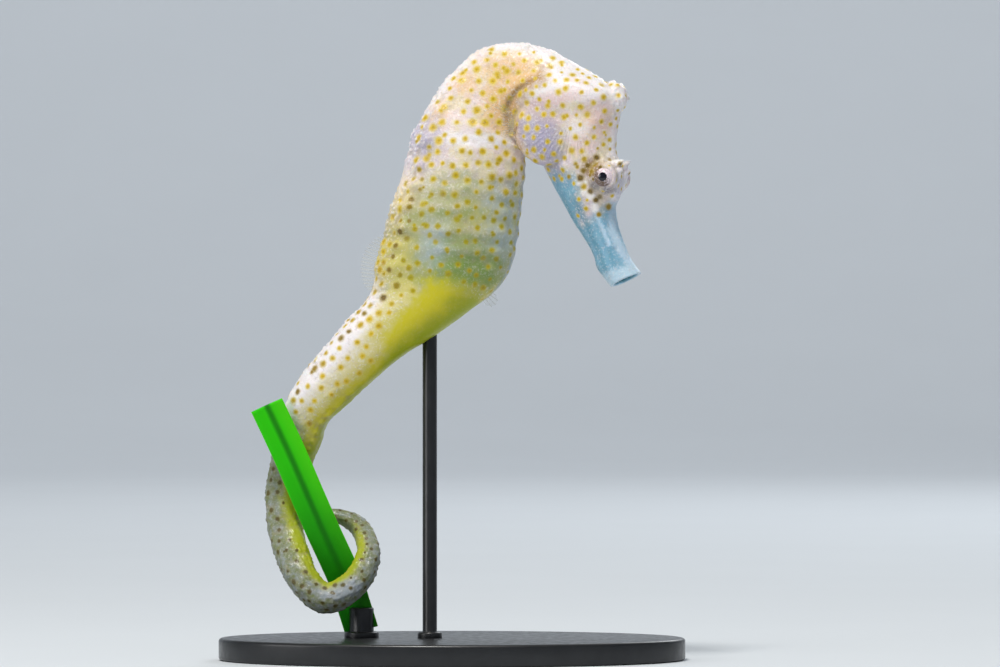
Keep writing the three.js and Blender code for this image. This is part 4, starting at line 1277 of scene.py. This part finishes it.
def eye_finish():
    f = Finish("eye_surface", Roughness=0.07, Coat_Weight=0.2, Coat_Roughness=0.03)
    off_axis = f.measure("off_axis")
    forward = f.plus(f.measure("forward"), f.waver(0.9, 0.5, 3.0))
    iris = f.mix(f.step(forward, -0.25, 0.25), IRIS_BEHIND, IRIS_AHEAD)
    brown = f.step(f.grain(0.42, 2.0), 0.52, 0.62, 0.0, 0.8)
    iris = f.mix(f.times(brown, f.step(forward, 0.0, 0.5, 1.0, 0.25)), iris, IRIS_BROWN)
    iris = f.mix(f.step(f.grain(0.2, 2.0), 0.55, 0.68, 0.0, 0.6), iris, IRIS_GREY)
    colour = f.mix(f.step(off_axis, 50.0, 62.0, 0.0, 0.7), iris, EYE_EDGE)
    ragged = f.plus(off_axis, f.waver(6.0, 0.25))
    f.paint(f.mix(f.step(ragged, 21.5, 24.5, 1.0, 0.0), colour, PUPIL))
    return f


eyes = {name: eyeball(name, side) for name, side in (("eyeball_right", 1), ("eyeball_left", -1))}
for name, ball in eyes.items():
    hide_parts(name.replace("ball", ""))
eye_finish().give_to(*eyes.values())
print("eyes:", len(eyes), "balls of", 2 * EYE_RADIUS, "mm")

# %% [markdown]
# ## The fins
# A seahorse swims with a fin on its back, a small one on each side behind the head, and a tiny one
# under the trunk. Each is a clear film on thin rays. It is made as a thin closed plate that is
# thicker along each ray, with a scalloped rim, and its see-through share comes from the same rays.

# %% Places and sizes of the fins
FINS = {  # place, line of the root, way out, root's length, rays' length, spread in degrees, rays
    "dorsal_fin": ((-11.9, 0, 71.0), (0.25, 0, 1), (-1, 0, 0), 9.0, 4.6, 30, 17),
    "anal_fin": ((6.2, 0, 65.6), (0.7, 0, 0.7), (0.7, 0, -0.7), 2.0, 2.4, 30, 4),
}
PECTORAL_ROOT = on_head(12.9, 96.2, 3.2)
for name, side in (("right", 1), ("left", -1)):
    root = PIVOT + by_head(PECTORAL_ROOT[0], side * PECTORAL_ROOT[1], PECTORAL_ROOT[2])
    line = np.array([0.15, 0, 1.0]) * side
    FINS["pectoral_fin_" + name] = (root, line, by_head(-0.88, 0.48 * side, 0), 3.2, 7.0, 55, 12)
print("rays:", {name: sizes[-1] for name, sizes in FINS.items()})

# %% Fins
STEPS_PER_RAY = 8
FIN_ROWS = 18
FILM = 0.03  # half thickness
RAY = 0.03  # what a ray adds to it
RIPPLE_OF_FIN = 0.22
SUNK = 0.9  # how far the root goes into the flesh
FILM_COLOUR = (0.66, 0.70, 0.66)
RAY_COLOUR = (0.74, 0.72, 0.60)


def plate(name, front, back):
    """A closed thin piece from two sheets of points with the same rows and columns."""
    rows, columns = front.shape[:2]
    sheet = grid_faces(rows, columns, closed=False)
    count = rows * columns
    rim = [*range(columns), *range(2 * columns - 1, count, columns)]
    rim += [*range(count - 2, count - columns - 1, -1), *range(count - 2 * columns, 0, -columns)]
    faces = sheet.tolist() + (sheet[:, ::-1] + count).tolist()
    faces += [[b, a, a + count, b + count] for a, b in zip(rim, rim[1:] + rim[:1])]
    return piece_from(name, np.concatenate([front.reshape(-1, 3), back.reshape(-1, 3)]), faces)


def fin(name, place, along, out, root, length, spread, rays):
    """A fan of rays from a root that lies along one direction and opens out in another."""
    x = unit(np.array(along, float))
    z = unit(np.cross(x, out))
    y = np.cross(z, x)
    s = np.linspace(0, 1, rays * STEPS_PER_RAY + 1)
    ray = (0.5 + 0.5 * np.cos(2 * np.pi * s * rays)) ** 3
    reach = length * (0.93 + 0.07 * ray) * np.sin(np.pi * (0.12 + 0.76 * s)) ** 0.7
    angle = np.radians(90 + spread * (0.5 - s))
    r = np.linspace(-SUNK / length, 1, FIN_ROWS)[:, None]
    wave = RIPPLE_OF_FIN * np.sin(5.0 * s + 2.5 * r) * np.clip(r, 0, 1)
    points = np.array(place) + (root * (s - 0.5) + r * reach * np.cos(angle))[..., None] * x
    points = points + (r * reach * np.sin(angle))[..., None] * y + wave[..., None] * z
    half = (FILM + RAY * ray * (1 - 0.6 * np.clip(r, 0, 1)))[..., None] * z
    made = plate(name + "_film", points + half, points - half)
    rays_at = np.broadcast_to(ray, points.shape[:2])
    carry(made, ray=[rays_at, rays_at], rim=[np.broadcast_to(r, points.shape[:2])] * 2)
    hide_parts(name)
    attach(made, "root")
    return made


def fin_finish():
    f = Finish("clear_fin", Roughness=0.3, IOR=1.38)
    ray = f.measure("ray")
    f.paint(f.mix(ray, FILM_COLOUR, RAY_COLOUR))
    clear = f.step(ray, 0.2, 1.0, 0.06, 0.22)
    thick_root = f.step(f.measure("rim"), 0.0, 0.35, 0.2, 0.0)
    f.plug(f.plus(clear, thick_root), f.shader.inputs["Alpha"])
    return f


fin_finish().give_to(*[fin(name, *sizes) for name, sizes in FINS.items()])
print("fins:", ", ".join(FINS))

# %% [markdown]
# ## The blade that the tail holds
# The tail grips a cut length of a broad water plant's blade. The blade is folded a little along its
# middle, thin at its edges and finely veined. The model is two sheets joined at the rim, as for the
# fins, because the fold and the veins then are real shape on both faces.

# %% Blade
BLADE_LINE = [
    (-33.3, 45.9), (-29.3, 37.3), (-25.8, 29.2), (-23.2, 23.2), (-19.3, 14.6), (-17.5, 9.2), (-16.3, 5.2),
]
BLADE_THICKNESS = 1.0
BLADE_WIDTH = 6.2
BLADE_FOLD = 0.6
BLADE_TWIST = math.radians(8)
BLADE_LEAN = 0.075
BLADE_FOOT_Y = 1.4
BASE_HEIGHT = 4.0
BLADE_ROWS = 150
BLADE_COLUMNS = 61
BLADE_RIPPLE = 0.10
VEINS = 11
VEIN_HEIGHT = 0.022


def blade_middle(t):
    """The blade's middle line, from 0 at its cut top to 1 at its foot."""
    line = smooth(BLADE_LINE, np.asarray(t) * (len(BLADE_LINE) - 1))
    depth = BLADE_FOOT_Y - BLADE_LEAN * (line[:, 1] - BASE_HEIGHT)
    return np.stack([line[:, 0], depth, line[:, 1]], 1)


def build_blade():
    t = np.linspace(0, 1, BLADE_ROWS)
    a = np.sin(np.linspace(-np.pi / 2, np.pi / 2, BLADE_COLUMNS))[None, :, None]
    down = unit(blade_middle(t + 0.01) - blade_middle(t - 0.01))[:, None]
    across = unit(np.cross([0, -1.0, 0], down))
    across = across * math.cos(BLADE_TWIST) + np.cross(down, across) * math.sin(BLADE_TWIST)
    to_back = np.cross(across, down)
    fold = BLADE_FOLD * (1 - np.sqrt(a * a + 0.01))
    veins = VEIN_HEIGHT * np.cos(2 * np.pi * VEINS * a) * (1 - a**4)
    half = BLADE_THICKNESS / 2 * np.sqrt(1 - a**4) * (0.62 + 0.38 * bump(a, 0.25))
    ripple = BLADE_RIPPLE * np.sin(14 * t)[:, None, None] * a**2
    centre = blade_middle(t)[:, None] + across * a * BLADE_WIDTH / 2
    front = centre + to_back * (fold + ripple - half - veins)
    back = centre + to_back * (fold + ripple + half + veins)
    blade = plate("blade_of_plant", front, back)
    down_share = np.broadcast_to(t[:, None], front.shape[:2])
    across_share = np.broadcast_to(a[..., 0], front.shape[:2])
    carry(blade, down=[down_share] * 2, across=[across_share] * 2)
    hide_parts("perch_blade")
    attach(blade, "root")
    return blade


blade = build_blade()
print("blade:", len(blade.data.polygons), "faces,", 2 * VEINS, "veins a face")

# %% Blade finish
FINE_VEINS = 3 * VEINS
LEAF_TOP = (0.03, 0.68, 0.002)
LEAF_SHADED_FOOT = (0.002, 0.16, 0.002)
LEAF_PAINTED_LIGHT = (0.11, 0.80, 0.004)
LEAF_FOLD_SHADE = (0.002, 0.12, 0.003)
LEAF_STREAK = (0.06, 0.66, 0.004)
LEAF_EDGE = (0.14, 0.72, 0.02)


def blade_finish():
    f = Finish("leaf_green", Roughness=0.45, Specular_IOR_Level=0.14)
    f.shader.inputs["Subsurface Weight"].default_value = 0.1
    f.shader.inputs["Subsurface Scale"].default_value = 0.001
    down = f.measure("down")
    across = f.measure("across")
    # darker towards the foot: painted shade
    colour = f.mix(f.step(down, 0.0, 0.8), LEAF_TOP, LEAF_SHADED_FOOT)
    # painted light: one half of the blade's upper part is lighter, as if lit
    painted_lit_half = f.times(f.step(across, -0.1, 0.8, 0.0, 0.5), f.step(down, 0.1, 0.7, 1.0, 0.2))
    colour = f.mix(painted_lit_half, colour, LEAF_PAINTED_LIGHT)
    # painted shade along the fold in the middle
    middle = f.step(f.math("ABSOLUTE", across), 0.03, 0.3, 0.8, 0.0)
    colour = f.mix(middle, colour, LEAF_FOLD_SHADE)
    vein = f.math("SINE", f.times(across, 2 * math.pi * FINE_VEINS))
    streaks = f.step(f.plus(vein, f.times(f.grain(1.5, 3.0), 1.2)), 0.5, 1.6, 0.0, 0.22)
    colour = f.mix(streaks, colour, LEAF_STREAK)
    edge = f.step(f.math("ABSOLUTE", across), 0.93, 1.0, 0.0, 0.6)
    f.paint(f.mix(edge, colour, LEAF_EDGE))
    f.raise_by(vein, 0.02, 0.5)
    return f


leaf_look = blade_finish()
leaf_look.give_to(blade)
print("leaf finish:", len(leaf_look.tree.nodes), "nodes")

# %% [markdown]
# ## The display stand
# A flat oval base carries two rods: one up into the brood pouch, under the trunk, and a short
# post that clamps the foot of the blade. Real ones are turned metal with a satin black
# finish. Edges are rounded, because a perfectly sharp edge never catches the light.

# %% Sizes and edges of the stand
BASE_LENGTH = 84.0
BASE_WIDTH = 48.0
BASE_BEVEL = 0.6
HOLE_FLOOR = 1.8
BODY_ROD_RADIUS = 1.3
BODY_ROD_X = -4.0
BODY_ROD_TOP = 60.6
POST_RADIUS = 2.2
POST_TOP = 9.4
COLLAR_WIDTH = 0.9
COLLAR_HEIGHT = 1.1
COLLAR_BEVEL = 0.4
ROD_BEVEL = 0.3
ROUNDING = 6  # steps round an edge
BASE_SIDES = 160
ROD_SIDES = 48
SHARP_OVER = 50  # degrees between faces that meet at a sharp edge


def capped(name, rings):
    """A closed piece from rings of points, with its two ends filled by one face each."""
    rows, sides = rings.shape[:2]
    faces = grid_faces(rows, sides).tolist()
    faces += [list(range(sides))[::-1], list(range((rows - 1) * sides, rows * sides))]
    return piece_from(name, rings, faces)


def rounded_edge(radius, height, bevel, upper):
    """Radius and height round an edge, from its outer side inwards, or outwards at the foot."""
    bend = np.linspace(0, math.pi / 2, ROUNDING)
    inset, rise = bevel * (1 - np.cos(bend)), bevel * (1 - np.sin(bend))
    edge = [(radius - i, height - r if upper else height + r) for i, r in zip(inset, rise)]
    return edge if upper else edge[::-1]


print("base:", BASE_LENGTH, "by", BASE_WIDTH, "mm, rod up to", BODY_ROD_TOP, "mm")

# %% Base, rod and post
def build_base():
    """An oval plate: its profile holds how far each ring lies outside the oval, and its height."""
    profile = rounded_edge(0, 0, BASE_BEVEL, False) + rounded_edge(0, BASE_HEIGHT, BASE_BEVEL, True)
    out, height = np.array(profile).T[..., None]
    angle = np.linspace(0, 2 * np.pi, BASE_SIDES, endpoint=False)
    x = (BASE_LENGTH / 2 + out) * np.cos(angle)
    y = (BASE_WIDTH / 2 + out) * np.sin(angle)
    return capped("stand_base_plate", np.stack([x, y, np.broadcast_to(height, x.shape)], -1))


def build_rod(name, x, y, top, radius):
    """A round rod with a low collar where it stands in the base."""
    collar = radius + COLLAR_WIDTH
    collar_top = BASE_HEIGHT + COLLAR_HEIGHT
    profile = [(radius, HOLE_FLOOR), (collar, BASE_HEIGHT - 0.3)]
    profile += rounded_edge(collar, collar_top, COLLAR_BEVEL, True)
    profile += [(radius + 0.05, collar_top), (radius, collar_top + 0.1)]
    profile += rounded_edge(radius, top, ROD_BEVEL, True)
    return capped(name, turned(profile, ROD_SIDES) + np.array([x, y, 0]))


foot = blade_middle([1.0])[0]
STAND = {
    "stand_base": build_base(),
    "stand_rod_body": build_rod("stand_rod_to_body", BODY_ROD_X, 0.0, BODY_ROD_TOP, BODY_ROD_RADIUS),
    "stand_rod_perch": build_rod("stand_post_of_blade", foot[0], foot[1], POST_TOP, POST_RADIUS),
}
for name, piece in STAND.items():
    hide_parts(name)
    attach(piece, "root")
    piece.data.set_sharp_from_angle(angle=math.radians(SHARP_OVER))
print("stand:", ", ".join(STAND))

# %% Stand finish
METAL_DARK = (0.020, 0.021, 0.023)
METAL_LIGHT = (0.034, 0.035, 0.038)


def stand_finish():
    f = Finish("satin_black_metal", Metallic=0.55, Coat_Weight=0.25, Coat_Roughness=0.2)
    f.paint(f.mix(f.grain(4.0, 4.0), METAL_DARK, METAL_LIGHT))
    f.rough(f.step(f.grain(1.2, 3.0), 0.3, 0.7, 0.30, 0.42))
    f.raise_by(f.grain(0.35, 2.0), 0.02, 0.4)
    return f


stand_look = stand_finish()
stand_look.give_to(*STAND.values())
print("stand finish:", len(stand_look.tree.nodes), "nodes")
